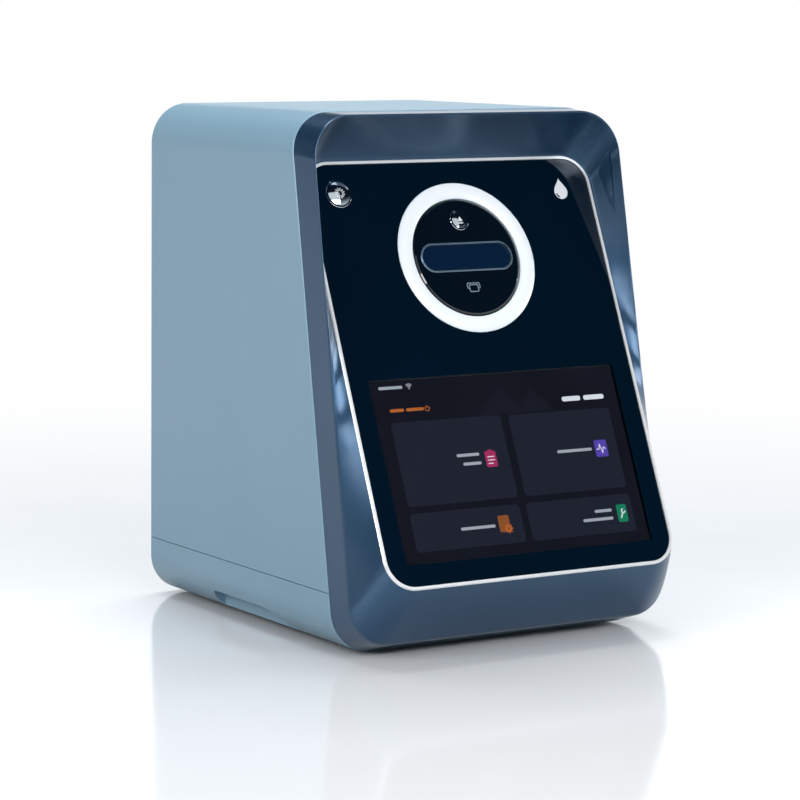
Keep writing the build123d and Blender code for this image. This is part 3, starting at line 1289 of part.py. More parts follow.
def main_board():
    """Computer board on the right side plate, with a finned processor cooler."""
    x = FRAME_SPACING / 2 + STANDOFF_HEIGHT
    board = block(x + BOARD_THICKNESS / 2, MAIN_BOARD_CENTRE, MAIN_BOARD_BOTTOM,
                  BOARD_THICKNESS, MAIN_BOARD_LENGTH, MAIN_BOARD_HEIGHT)
    middle = MAIN_BOARD_BOTTOM + MAIN_BOARD_HEIGHT / 2 - PROCESSOR_SIZE / 2
    face = x + BOARD_THICKNESS
    plate = 2 * HEATSINK_FIN
    board += block(face + plate / 2, MAIN_BOARD_CENTRE, middle, plate, PROCESSOR_SIZE, PROCESSOR_SIZE)
    pitch = (PROCESSOR_SIZE - HEATSINK_FIN) / (HEATSINK_FINS - 1)
    for index in range(HEATSINK_FINS):
        y = MAIN_BOARD_CENTRE - PROCESSOR_SIZE / 2 + HEATSINK_FIN / 2 + index * pitch
        board += block(face + HEATSINK_HEIGHT / 2, y, middle, HEATSINK_HEIGHT, HEATSINK_FIN, PROCESSOR_SIZE)
    for shift in (-2, 2):
        y = MAIN_BOARD_CENTRE + shift * PROCESSOR_SIZE
        board += block(face + STANDOFF_HEIGHT / 2, y, MAIN_BOARD_BOTTOM + STANDOFF_HEIGHT,
                       STANDOFF_HEIGHT, PROCESSOR_SIZE / 2, STANDOFF_HEIGHT)
    return board


def display_board_places():
    """Corner places of the display board on the panel."""
    half_width = DRIVER_BOARD_WIDTH / 2 - 2 * STANDOFF_RADIUS
    half_length = DRIVER_BOARD_LENGTH / 2 - 2 * STANDOFF_RADIUS
    return [(a * half_width, DRIVER_BOARD_CENTRE + b * half_length)
            for a in (-1, 1) for b in (-1, 1)]


def board_standoffs():
    """Standoffs under the main board, the display board and the power switch's board."""
    pieces = []
    for y, z in main_board_places():
        place = Plane.YZ.offset(FRAME_SPACING / 2) * Pos(y, z)
        pieces.append(extrude(place * Circle(STANDOFF_RADIUS), STANDOFF_HEIGHT))
    for x, rise in display_board_places():
        back = CARRIER_BACK - STANDOFF_HEIGHT
        pieces.append(panel_disc(x, rise, STANDOFF_RADIUS, back, CARRIER_BACK))
    for side in (-1, 1):
        x = POWER_X + side * (SWITCH_BOARD_WIDTH / 2 - STANDOFF_RADIUS)
        pieces.append(panel_disc(x, POWER_RISE, STANDOFF_RADIUS, power_board_front(), CARRIER_BACK))
    return Compound(pieces)


def power_supply():
    """Vented metal power supply on the chassis plate."""
    box = block(SUPPLY_X, SUPPLY_Y, CHASSIS_HEIGHT, SUPPLY_WIDTH, SUPPLY_LENGTH, SUPPLY_HEIGHT)
    pitch = SUPPLY_LENGTH / (SUPPLY_VENTS + 1)
    for index in range(SUPPLY_VENTS):
        y = SUPPLY_Y - SUPPLY_LENGTH / 2 + (index + 1) * pitch
        top = CHASSIS_HEIGHT + SUPPLY_HEIGHT - VENT_SLOT
        box -= block(SUPPLY_X, y, top, SUPPLY_WIDTH - 4 * VENT_SLOT, VENT_SLOT, VENT_SLOT)
    return box


def display_board():
    """Display driver board behind the carrier plate."""
    front = CARRIER_BACK - STANDOFF_HEIGHT
    back = front - BOARD_THICKNESS
    board = panel_box(0, DRIVER_BOARD_CENTRE, DRIVER_BOARD_WIDTH, DRIVER_BOARD_LENGTH, back, front)
    chip = DRIVER_BOARD_LENGTH / 3
    return board + panel_box(0, DRIVER_BOARD_CENTRE, chip, chip, back - BOARD_THICKNESS, back)


# Rear panel and its parts
def rear_openings():
    """Holes in the rear panel for the inlet, the switch, the ports and the fan."""
    front = REAR_SHEET_IN
    inlet = Pos(INLET_X, INLET_HEIGHT) * Rectangle(INLET_WIDTH, INLET_TALL)
    holes = upright_prism(inlet, front, REAR_SHEET_OUT)
    rocker = Rectangle(ROCKER_WIDTH + 2 * ROCKER_GAP + 2 * ROCKER_BOX_WALL,
                       ROCKER_TALL + 2 * ROCKER_GAP + 2 * ROCKER_BOX_WALL)
    holes += upright_prism(Pos(ROCKER_X, INLET_HEIGHT) * rocker, front, REAR_SHEET_OUT)
    board_top = IO_HEIGHT + BOARD_THICKNESS
    usb = Pos(USB_X, board_top + USB_TALL / 2) * Rectangle(USB_WIDTH + 2 * PORT_GAP, USB_TALL + 2 * PORT_GAP)
    lan = Pos(LAN_X, board_top + LAN_TALL / 2) * Rectangle(LAN_WIDTH + 2 * PORT_GAP, LAN_TALL + 2 * PORT_GAP)
    holes += upright_prism(usb, front, REAR_SHEET_OUT) + upright_prism(lan, front, REAR_SHEET_OUT)
    disc = Pos(0, FAN_HEIGHT) * Circle(FAN_BORE / 2)
    slots = Sketch()
    for index in range(FAN_SLOTS):
        z = FAN_HEIGHT + (index - (FAN_SLOTS - 1) / 2) * FAN_SLOT_PITCH
        slots += Pos(0, z) * Rectangle(FAN_BORE, FAN_SLOT_WIDTH)
    return holes + upright_prism(slots & disc, front, REAR_SHEET_OUT)


def panel_screw_places():
    """Screw places round the rear panel as (x, z)."""
    inset = SHELL_WALL + PANEL_SCREW_INSET
    low = FOOT_HEIGHT + inset
    high = HEIGHT - inset
    places = [(0, high), (0, low)]
    for z in (SEAM_HEIGHT + SHELL_BOTTOM_RADIUS, HEIGHT / 2, HEIGHT - SHELL_TOP_RADIUS - inset):
        places += [(side * (half_width(z) - inset), z) for side in (-1, 1)]
    return places


def rear_panel():
    """Sheet-metal rear panel set into the housing."""
    sheet = upright_prism(housing_outline(SHELL_WALL + PANEL_EDGE_GAP), REAR_SHEET_IN, REAR_SHEET_OUT)
    sheet -= rear_openings()
    for x, z in panel_screw_places():
        sheet -= rearward(x, z, MACHINE_SCREW_HOLE, REAR_SHEET_IN, REAR_SHEET_OUT)
    half = FAN_HOLE_SPACING / 2
    for x in (-half, half):
        for z in (FAN_HEIGHT - half, FAN_HEIGHT + half):
            sheet -= rearward(x, z, MACHINE_SCREW_HOLE, REAR_SHEET_IN, REAR_SHEET_OUT)
    return sheet


def panel_screws():
    """Screws of the rear panel and of the fan, heads outside."""
    half = FAN_HOLE_SPACING / 2
    places = panel_screw_places()
    places += [(x, z) for x in (-half, half) for z in (FAN_HEIGHT - half, FAN_HEIGHT + half)]
    screws = []
    for x, z in places:
        top = REAR_SHEET_OUT + MACHINE_SCREW_HEAD
        head = rearward(x, z, MACHINE_SCREW_HEAD_RADIUS, REAR_SHEET_OUT, top)
        head = fillet(head.faces().sort_by(Axis.Y)[-1].edges(), MACHINE_SCREW_HEAD / 2)
        reach = REAR_SHEET_IN - PANEL_SCREW_REACH
        screws.append(head + rearward(x, z, MACHINE_SCREW_RADIUS, reach, REAR_SHEET_OUT))
    return Compound(screws)


def fan_frame():
    """Square fan frame with a round duct, struts and a motor mount."""
    front = REAR_SHEET_IN - FAN_DEPTH
    square = Pos(0, FAN_HEIGHT) * RectangleRounded(FAN_SIZE, FAN_SIZE, FAN_CORNER)
    duct = Pos(0, FAN_HEIGHT) * Circle(FAN_BORE / 2)
    frame = upright_prism(square - duct, front, REAR_SHEET_IN)
    mount_rear = front + FAN_MOUNT_THICKNESS
    mount = rearward(0, FAN_HEIGHT, FAN_HUB_RADIUS, front, mount_rear)
    for index in range(FAN_STRUTS):
        turn = Rot(0, 0, 45 + 360 / FAN_STRUTS * index)
        strut = turn * Pos(FAN_BORE / 4) * Rectangle(FAN_BORE / 2 + FAN_JOINT_OVERLAP, FAN_STRUT_WIDTH)
        strut = Pos(0, FAN_HEIGHT) * strut
        mount += upright_prism(strut, front, mount_rear)
    mount -= rearward(0, FAN_HEIGHT, FAN_AXLE_RADIUS + FAN_AXLE_CLEARANCE, front, mount_rear)
    half = FAN_HOLE_SPACING / 2
    for x in (-half, half):
        for z in (FAN_HEIGHT - half, FAN_HEIGHT + half):
            frame -= rearward(x, z, MACHINE_SCREW_HOLE, front, REAR_SHEET_IN)
    return frame + mount


def fan_blade(hub_y):
    """One twisted blade, lofted from its root to its tip, pointing up."""
    root = FAN_HUB_RADIUS - FAN_JOINT_OVERLAP
    tip = FAN_BORE / 2 - FAN_BLADE_TIP_GAP
    sections = []
    for reach, pitch in ((root, FAN_BLADE_ROOT_PITCH), (tip, FAN_BLADE_TIP_PITCH)):
        section = Rot(0, 0, pitch) * Rectangle(FAN_BLADE_DEPTH, FAN_BLADE_THICKNESS)
        sections.append(Pos(0, hub_y, FAN_HEIGHT + reach) * section)
    return loft(sections)


def fan_rotor():
    """Hub with twisted blades on its axle."""
    front = REAR_SHEET_IN - FAN_DEPTH + FAN_MOUNT_THICKNESS + FAN_AXIAL_GAP
    rear = REAR_SHEET_IN - FAN_AXIAL_GAP
    hub = rearward(0, FAN_HEIGHT, FAN_HUB_RADIUS, front, rear)
    hub = fillet(hub.faces().sort_by(Axis.Y)[-1].edges(), FAN_AXIAL_GAP)
    rotor = hub + rearward(0, FAN_HEIGHT, FAN_AXLE_RADIUS, REAR_SHEET_IN - FAN_DEPTH, front)
    blade = fan_blade((front + rear) / 2)
    axis = Axis((0, 0, FAN_HEIGHT), (0, 1, 0))
    for index in range(FAN_BLADES):
        rotor += blade.rotate(axis, 360 / FAN_BLADES * index)
    return rotor


def inlet_outline(width, tall, corner):
    """Inlet outline with its two lower corners cut off."""
    outline = Rectangle(width, tall)
    return chamfer(outline.vertices().group_by(Axis.Y)[0], corner)


def mains_inlet():
    """Power inlet with a deep socket, clipped into the rear panel."""
    place = Pos(INLET_X, INLET_HEIGHT)
    rear = REAR_SHEET_OUT
    body = upright_prism(place * Rectangle(INLET_WIDTH, INLET_TALL), rear - INLET_DEPTH, rear)
    lip = Rectangle(INLET_WIDTH + 2 * INLET_FLANGE, INLET_TALL + 2 * INLET_FLANGE)
    mouth = rear + INLET_FLANGE_THICKNESS
    body += upright_prism(place * lip, rear, mouth)
    cavity = inlet_outline(INLET_CAVITY_WIDTH, INLET_CAVITY_TALL, INLET_CORNER)
    return body - upright_prism(place * cavity, mouth - INLET_CAVITY_DEPTH, mouth)


def inlet_pins():
    """Three blades inside the inlet's socket."""
    mouth = REAR_SHEET_OUT + INLET_FLANGE_THICKNESS
    floor = mouth - INLET_CAVITY_DEPTH
    half = INLET_PIN_SPACING / 2
    pins = []
    for x, z in ((0, INLET_EARTH_RISE), (-half, -INLET_LINE_DROP), (half, -INLET_LINE_DROP)):
        blade = Pos(INLET_X + x, INLET_HEIGHT + z) * Rectangle(INLET_PIN_WIDTH, INLET_PIN_TALL)
        pins.append(upright_prism(blade, floor, floor + INLET_PIN_LENGTH))
    return Compound(pins)


def rocker_housing():
    """Switch body with a rimmed opening and two pivot pins for the rocker."""
    inner_width = ROCKER_WIDTH + 2 * ROCKER_GAP
    inner_tall = ROCKER_TALL + 2 * ROCKER_GAP
    wall = 2 * ROCKER_BOX_WALL
    place = Pos(ROCKER_X, INLET_HEIGHT)
    outer = place * Rectangle(inner_width + wall, inner_tall + wall)
    body = upright_prism(outer, REAR_SHEET_OUT - ROCKER_BOX_DEPTH, REAR_SHEET_OUT)
    rim = place * Rectangle(inner_width + wall + 2 * ROCKER_BEZEL, inner_tall + wall + 2 * ROCKER_BEZEL)
    body += upright_prism(rim, REAR_SHEET_OUT, REAR_SHEET_OUT + ROCKER_BEZEL_THICKNESS)
    room = place * Rectangle(inner_width, inner_tall)
    floor = REAR_SHEET_OUT - ROCKER_BOX_DEPTH + ROCKER_BOX_WALL
    body -= upright_prism(room, floor, REAR_SHEET_OUT + ROCKER_BEZEL_THICKNESS)
    pivot = Plane.YZ.offset(ROCKER_X - inner_width / 2)
    centre = Pos(REAR_SHEET_OUT - ROCKER_PIVOT_DEPTH, INLET_HEIGHT)
    return body + extrude(pivot * centre * Circle(ROCKER_PIN_RADIUS), inner_width)


def rocker_switch():
    """Rocker with a shallow valley across its face, tipped to its off side."""
    half = ROCKER_TALL / 2
    swing = math.radians(ROCKER_SWING / 2)
    crown = ROCKER_PIVOT_DEPTH + ROCKER_BEZEL_THICKNESS
    rise = half * math.tan(swing)
    end = half - ROCKER_END_CUT
    skirt = ROCKER_SKIRT / 2
    outline = Polyline((0, crown), (end, crown + rise), (end, 0), (skirt, -skirt),
                       (-skirt, -skirt), (-end, 0), (-end, crown + rise), close=True)
    face = make_face(outline) - Circle(ROCKER_PIN_RADIUS + ROCKER_PIN_CLEARANCE)
    side = Plane(origin=(ROCKER_X - ROCKER_WIDTH / 2, REAR_SHEET_OUT - ROCKER_PIVOT_DEPTH, INLET_HEIGHT),
                 x_dir=(0, 0, -1), z_dir=(1, 0, 0))
    return extrude(side * (Rot(0, 0, ROCKER_SWING / 2) * face), ROCKER_WIDTH)


def io_board():
    """Small board behind the ports."""
    place = REAR_SHEET_IN - IO_BOARD_DEPTH / 2
    return block(IO_X, place, IO_HEIGHT, IO_BOARD_WIDTH, IO_BOARD_DEPTH, BOARD_THICKNESS)


def io_bracket():
    """Bent bracket that holds the port board on the rear panel."""
    low = IO_HEIGHT - STANDOFF_HEIGHT
    shelf_y = REAR_SHEET_IN - IO_BOARD_DEPTH / 2
    bracket = block(IO_X, shelf_y, low, IO_BOARD_WIDTH, IO_BOARD_DEPTH, FRAME_SHEET)
    flange_y = REAR_SHEET_IN - FRAME_SHEET / 2
    bracket += block(IO_X, flange_y, low - FRAME_FOOT, IO_BOARD_WIDTH, FRAME_SHEET, FRAME_FOOT)
    for side in (-1, 1):
        x = IO_X + side * (IO_BOARD_WIDTH / 2 - STANDOFF_RADIUS)
        for y in (REAR_SHEET_IN - IO_BOARD_DEPTH + STANDOFF_RADIUS, REAR_SHEET_IN - STANDOFF_RADIUS):
            bracket += post(x, y, low, IO_HEIGHT, STANDOFF_RADIUS)
    return bracket


def usb_ports():
    """Stacked pair of data sockets with their tongues."""
    place_z = IO_HEIGHT + BOARD_THICKNESS
    middle = place_z + USB_TALL / 2
    rear = REAR_SHEET_OUT
    shell = upright_prism(Pos(USB_X, middle) * Rectangle(USB_WIDTH, USB_TALL), rear - USB_DEPTH, rear)
    for side in (-1, 1):
        centre = Pos(USB_X, middle + side * USB_CAVITY_PITCH / 2)
        cavity = centre * Rectangle(USB_CAVITY_WIDTH, USB_CAVITY_TALL)
        shell -= upright_prism(cavity, rear - USB_CAVITY_DEPTH, rear)
        tongue = centre * Rectangle(USB_TONGUE_WIDTH, USB_TONGUE_THICKNESS)
        shell += upright_prism(tongue, rear - USB_CAVITY_DEPTH, rear - USB_TONGUE_RECESS)
    return shell


def lan_port():
    """Network socket with its latch keyway."""
    middle = IO_HEIGHT + BOARD_THICKNESS + LAN_TALL / 2
    rear = REAR_SHEET_OUT
    shell = upright_prism(Pos(LAN_X, middle) * Rectangle(LAN_WIDTH, LAN_TALL), rear - LAN_DEPTH, rear)
    cavity = Rectangle(LAN_CAVITY_WIDTH, LAN_CAVITY_TALL)
    keyway = Rectangle(LAN_CAVITY_WIDTH / 2, LAN_KEYWAY_DEPTH)
    keyway = Pos(0, -(LAN_CAVITY_TALL + LAN_KEYWAY_DEPTH) / 2) * keyway
    return shell - upright_prism(Pos(LAN_X, middle) * (cavity + keyway), rear - LAN_CAVITY_DEPTH, rear)


def build_parts():
    """All nodes by name."""
    tube = housing_tube()
    hub_back = HUB_RISE - HUB_FACE_THICKNESS
    return {
        "upper_shell": upper_shell(tube),
        "base_shell": base_shell(tube),
        "front_bezel": front_bezel(),
        "glass_trim": glass_trim(),
        "front_glass": front_glass(),
        "display_module": display_module(),
        "carrier_plate": carrier_plate(),
        "carrier_screws": carrier_screws(),
        "display_board": display_board(),
        "light_ring": light_ring(),
        "led_board": led_board(),
        "centre_hub": centre_hub(),
        "slot_trim": slot_trim(),
        "power_ring": button_ring(POWER_X, POWER_RISE, POWER_RADIUS, -GLASS_THICKNESS, 0),
        "power_button": button_cap(POWER_X, POWER_RISE, POWER_RADIUS, POWER_DOME, -GLASS_THICKNESS, 0),
        "power_switch_board": switch_board(POWER_X, POWER_RISE, power_board_front()),
        "eject_ring": button_ring(0, EJECT_RISE, EJECT_RADIUS, hub_back, HUB_RISE),
        "eject_button": button_cap(0, EJECT_RISE, EJECT_RADIUS, EJECT_DOME, hub_back, HUB_RISE),
        "eject_switch_board": switch_board(0, EJECT_RISE, eject_board_front()),
        "tray_door": tray_door(),
        "cartridge_tray": cartridge_tray(),
        "tray_rack": tray_rack(),
        "drive_pinion": drive_pinion(),
        "tray_motor": tray_motor(),
        "tray_guides": tray_guides(),
        "tray_deck": tray_deck(),
        "side_plates": side_plates(),
        "chassis_posts": chassis_posts(),
        "chassis_plate": chassis_plate(),
        "chassis_screws": chassis_screws(),
        "case_screws": case_screws(),
        "focus_frame": focus_frame(),
        "guide_rods": guide_rods(),
        "focus_carriage": focus_carriage(),
        "focus_screw": focus_screw(),
        "focus_motor": focus_motor(),
        "objective_lens": objective_lens(),
        "camera_tube": camera_tube(),
        "camera_module": camera_module(),
        "lamp_bridge": lamp_bridge(),
        "lamp_housing": lamp_housing(),
        "condenser_lens": condenser_lens(),
        "main_board": main_board(),
        "board_standoffs": board_standoffs(),
        "power_supply": power_supply(),
        "rear_panel": rear_panel(),
        "panel_screws": panel_screws(),
        "fan_frame": fan_frame(),
        "fan_rotor": fan_rotor(),
        "mains_inlet": mains_inlet(),
        "inlet_pins": inlet_pins(),
        "rocker_housing": rocker_housing(),
        "rocker_switch": rocker_switch(),
        "io_board": io_board(),
        "io_bracket": io_bracket(),
        "usb_ports": usb_ports(),
        "lan_port": lan_port(),
        "rubber_feet": rubber_feet(),
    }


os.makedirs("parts", exist_ok=True)
for name, piece in build_parts().items():
    export_step(piece, f"parts/{name}.step")
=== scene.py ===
import json
import math

import bpy
from mathutils import Matrix, Vector


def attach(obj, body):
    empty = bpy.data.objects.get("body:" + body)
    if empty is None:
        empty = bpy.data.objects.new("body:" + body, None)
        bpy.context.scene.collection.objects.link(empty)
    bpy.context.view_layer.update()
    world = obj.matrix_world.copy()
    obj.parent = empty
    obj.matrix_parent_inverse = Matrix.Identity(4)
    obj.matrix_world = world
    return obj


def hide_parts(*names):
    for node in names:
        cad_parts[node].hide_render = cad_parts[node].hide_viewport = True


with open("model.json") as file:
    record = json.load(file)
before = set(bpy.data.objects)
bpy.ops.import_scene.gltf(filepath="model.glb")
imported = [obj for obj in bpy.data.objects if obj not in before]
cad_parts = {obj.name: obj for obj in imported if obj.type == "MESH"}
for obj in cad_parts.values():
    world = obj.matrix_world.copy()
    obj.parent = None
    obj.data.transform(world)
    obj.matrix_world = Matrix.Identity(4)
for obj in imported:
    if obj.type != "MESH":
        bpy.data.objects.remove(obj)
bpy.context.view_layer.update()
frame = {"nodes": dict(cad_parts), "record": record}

MM = 0.001

# The leaning front panel: x across it, s up along the glass, w out of the glass
PANEL_LEAN = math.radians(23.5)
PANEL_FOOT_Y = -202.215 * MM
PANEL = Matrix((
    (1, 0, 0, 0),
    (0, math.sin(PANEL_LEAN), -math.cos(PANEL_LEAN), PANEL_FOOT_Y),
    (0, math.cos(PANEL_LEAN), math.sin(PANEL_LEAN), 0),
    (0, 0, 0, 1),
))

# Places and sizes on the panel, in mm; cutters reach through the glass at both faces
GLASS_FOOT, GLASS_LENGTH, GLASS_WIDTH, GLASS_RADIUS = 64.4, 328.4, 254.2, 21.0
GLASS_BACK = -3.0
WINDOW_BACK = -2.5
SCREEN_X, SCREEN_LOW, SCREEN_HIGH, SCREEN_RADIUS = 110.5, 80.9, 222.4, 1.2
CUTTER_LOW, CUTTER_HIGH = -6.0, 3.0
HUB_CENTRE = 315.0
HUB_FACE = 0.6
RING_HOLE = 60.5
RING_CROWN = 54.0
# Painted shade on the light ring: its glow dims between these distances from its crown, in mm
RING_SHADE_START, RING_SHADE_END = 3.6, 6.6
POWER_X, POWER_RISE, POWER_HOLE = -101.0, 369.5, 10.9
EJECT_RISE = 345.0

# The picture is measured in mm from its upper left corner, and its cards stack in levels
PICTURE_LEFT, PICTURE_TOP = -108.5, 220.4
PICTURE_BACK = -3.0
INK_FOOT = PICTURE_BACK + 0.01
FIRST_FACE, LEVEL_STEP = PICTURE_BACK + 0.05, 0.06
GROUND_LEVEL, TILE_LEVEL, INK_LEVEL, SIGN_LEVEL, TOP_LEVEL = range(5)
FACET_DEPTH = 0.07
STROKE = 0.7

# The floor fades into plain white between these distances from the middle, in metres
FLOOR_SIZE = 60
FLOOR_FADE_START, FLOOR_FADE_END = 0.3, 1.5

# Each lamp: name, place and aim in metres, width and height in metres, power in watts
LAMPS = (
    ("left_softbox", (-2.6, -0.3, 1.45), (0, 0, 0.25), 1.4, 1.8, 31),
    ("left_strip", (-2.05, -1.30, 0.95), (0, 0, 0.25), 0.9, 0.40, 9),
    ("front_strip", (0.0, -2.35, 1.15), (0, 0, 0.25), 2.4, 0.40, 30),
    ("right_strip", (2.30, -0.90, 0.72), (0, 0, 0.25), 1.6, 0.42, 14),
    ("front_softbox", (0.15, -2.30, 1.85), (0, 0, 0.3), 2.4, 0.9, 6),
    ("rear_softbox", (1.45, 2.45, 0.80), (0, 0, 0.42), 1.8, 0.5, 2),
    ("top_softbox", (0.3, 0.9, 2.6), (0, 0, 0.3), 2.2, 1.4, 46),
)

# The camera, as fitted to the photo: place in metres, angles in degrees, lens in mm
CAMERA_PLACE = (-1.25975, -2.02730, 0.47291)
CAMERA_YAW, CAMERA_PITCH, CAMERA_ROLL = 31.603, 7.224, 0.228
CAMERA_LENS, SENSOR_WIDTH, CAMERA_REACH = 136.87, 36, 60


# Node trees
def colour(code):
    """Linear colour of a web colour code."""
    parts = [int(code[i:i + 2], 16) / 255 for i in (1, 3, 5)]
    linear = [p / 12.92 if p <= 0.04045 else ((p + 0.055) / 1.055) ** 2.4 for p in parts]
    return tuple(linear + [1.0])


def new_group(name, ins, outs):
    """A shader node group, with its input and output nodes."""
    group = bpy.data.node_groups.new(name, "ShaderNodeTree")
    for socket, kind, value in ins:
        made = group.interface.new_socket(socket, in_out="INPUT", socket_type=kind)
        made.default_value = value
    for socket, kind in outs:
        group.interface.new_socket(socket, in_out="OUTPUT", socket_type=kind)
    return group, group.nodes.new("NodeGroupInput"), group.nodes.new("NodeGroupOutput")


def add(tree, kind, **settings):
    """A new node with its settings."""
    node = tree.nodes.new(kind)
    for key, value in settings.items():
        setattr(node, key, value)
    return node


def fill(node, **values):
    """Sets a node's sockets; an underscore stands for a space in a socket's name."""
    for key, value in values.items():
        node.inputs[key.replace("_", " ")].default_value = value


def fade(tree, start, end):
    """A smooth run from 0 at start to 1 at end."""
    span = add(tree, "ShaderNodeMapRange", interpolation_type="SMOOTHSTEP")
    fill(span, From_Min=start, From_Max=end)
    return span


def two_tones(tree, factor, low, high):
    """A colour that runs from low to high with the factor."""
    ramp = add(tree, "ShaderNodeMix", data_type="RGBA")
    fill(ramp, A=colour(low), B=colour(high))
    tree.links.new(factor, ramp.inputs["Factor"])
    return ramp.outputs["Result"]


def ranged(tree, factor, low, high):
    """A number that runs from low to high with the factor."""
    span = add(tree, "ShaderNodeMapRange")
    fill(span, To_Min=low, To_Max=high)
    tree.links.new(factor, span.inputs["Value"])
    return span.outputs["Result"]


def add_bump(tree, shader, height, strength, depth):
    """A bump of the given depth in metres on the shader."""
    bump = add(tree, "ShaderNodeBump")
    fill(bump, Strength=strength, Distance=depth)
    tree.links.new(height, bump.inputs["Height"])
    tree.links.new(bump.outputs["Normal"], shader.inputs["Normal"])


def build_fine_grain():
    """Moulded or sprayed surface: a fine pebble for the bump and a slow drift of tone."""
    group, gin, gout = new_group(
        "fine_grain",
        [("Grain", "NodeSocketFloat", 1800.0), ("Drift", "NodeSocketFloat", 9.0)],
        [("Height", "NodeSocketFloat"), ("Tone", "NodeSocketFloat")],
    )
    coordinates = add(group, "ShaderNodeTexCoord")
    pebble = add(group, "ShaderNodeTexNoise")
    fill(pebble, Detail=3.0, Roughness=0.6)
    slow = add(group, "ShaderNodeTexNoise")
    fill(slow, Detail=2.0, Roughness=0.5)
    links = group.links
    links.new(coordinates.outputs["Object"], pebble.inputs["Vector"])
    links.new(coordinates.outputs["Object"], slow.inputs["Vector"])
    links.new(gin.outputs["Grain"], pebble.inputs["Scale"])
    links.new(gin.outputs["Drift"], slow.inputs["Scale"])
    links.new(pebble.outputs["Fac"], gout.inputs["Height"])
    links.new(slow.outputs["Fac"], gout.inputs["Tone"])
    return group


def build_handling():
    """Smears left by cloths and hands, stretched along one way."""
    group, gin, gout = new_group(
        "handling",
        [("Size", "NodeSocketFloat", 14.0), ("Contrast", "NodeSocketFloat", 0.5)],
        [("Smear", "NodeSocketFloat")],
    )
    coordinates = add(group, "ShaderNodeTexCoord")
    stretch = add(group, "ShaderNodeMapping")
    fill(stretch, Scale=(1.0, 1.6, 0.45))
    cloud = add(group, "ShaderNodeTexNoise")
    fill(cloud, Detail=5.0, Roughness=0.62, Distortion=0.8)
    span = add(group, "ShaderNodeMapRange")
    fill(span, From_Min=0.35, From_Max=0.75)
    scaled = add(group, "ShaderNodeMath", operation="MULTIPLY")
    links = group.links
    links.new(coordinates.outputs["Object"], stretch.inputs["Vector"])
    links.new(stretch.outputs["Vector"], cloud.inputs["Vector"])
    links.new(gin.outputs["Size"], cloud.inputs["Scale"])
    links.new(cloud.outputs["Fac"], span.inputs["Value"])
    links.new(span.outputs["Result"], scaled.inputs[0])
    links.new(gin.outputs["Contrast"], scaled.inputs[1])
    links.new(scaled.outputs["Value"], gout.inputs["Smear"])
    return group


def build_brushing():
    """Fine lines along X, as drawn sheet or turned bar shows."""
    group, gin, gout = new_group(
        "brushing",
        [("Fineness", "NodeSocketFloat", 900.0)],
        [("Line", "NodeSocketFloat")],
    )
    coordinates = add(group, "ShaderNodeTexCoord")
    stretch = add(group, "ShaderNodeMapping")
    fill(stretch, Scale=(0.02, 1.0, 1.0))
    lines = add(group, "ShaderNodeTexNoise")
    fill(lines, Detail=2.0, Roughness=0.7)
    links = group.links
    links.new(coordinates.outputs["Object"], stretch.inputs["Vector"])
    links.new(stretch.outputs["Vector"], lines.inputs["Vector"])
    links.new(gin.outputs["Fineness"], lines.inputs["Scale"])
    links.new(lines.outputs["Fac"], gout.inputs["Line"])
    return group


FINE_GRAIN = build_fine_grain()
HANDLING = build_handling()
BRUSHING = build_brushing()


# Materials
def new_material(name, **sockets):
    """A material with constants on its shader's own sockets."""
    material = bpy.data.materials.new(name)
    material.use_nodes = True
    shader = material.node_tree.nodes["Principled BSDF"]
    fill(shader, **sockets)
    return material, material.node_tree, shader


def moulded(name, low, high, rough, grain=1800.0, depth=2e-5, smear=0.10, **sockets):
    """Paint or moulded plastic: two close tones, fine pebble, uneven sheen."""
    material, tree, shader = new_material(name, **sockets)
    grained = add(tree, "ShaderNodeGroup", node_tree=FINE_GRAIN)
    fill(grained, Grain=grain)
    handled = add(tree, "ShaderNodeGroup", node_tree=HANDLING)
    tone = two_tones(tree, grained.outputs["Tone"], low, high)
    sheen = ranged(tree, handled.outputs["Smear"], rough, rough + smear)
    tree.links.new(tone, shader.inputs["Base Color"])
    tree.links.new(sheen, shader.inputs["Roughness"])
    add_bump(tree, shader, grained.outputs["Height"], strength=0.6, depth=depth)
    return material


def brushed(name, low, high, rough, fineness=900.0, depth=1e-5, **sockets):
    """Drawn or turned metal: fine lines in tone, sheen and bump."""
    rough_spread = 0.16
    material, tree, shader = new_material(name, **sockets)
    lined = add(tree, "ShaderNodeGroup", node_tree=BRUSHING)
    fill(lined, Fineness=fineness)
    line = lined.outputs["Line"]
    tree.links.new(two_tones(tree, line, low, high), shader.inputs["Base Color"])
    tree.links.new(ranged(tree, line, rough, rough + rough_spread), shader.inputs["Roughness"])
    add_bump(tree, shader, line, strength=0.5, depth=depth)
    return material


def glowing(name, low, high):
    """A lit element of the picture, a little uneven across."""
    material, tree, shader = new_material(
        name, Base_Color=colour("#050608"), Roughness=0.08, Specular_IOR_Level=0.05,
        Emission_Strength=1.0)
    grained = add(tree, "ShaderNodeGroup", node_tree=FINE_GRAIN)
    fill(grained, Grain=2600.0, Drift=24.0)
    tone = two_tones(tree, grained.outputs["Tone"], low, high)
    tree.links.new(tone, shader.inputs["Emission Color"])
    return material


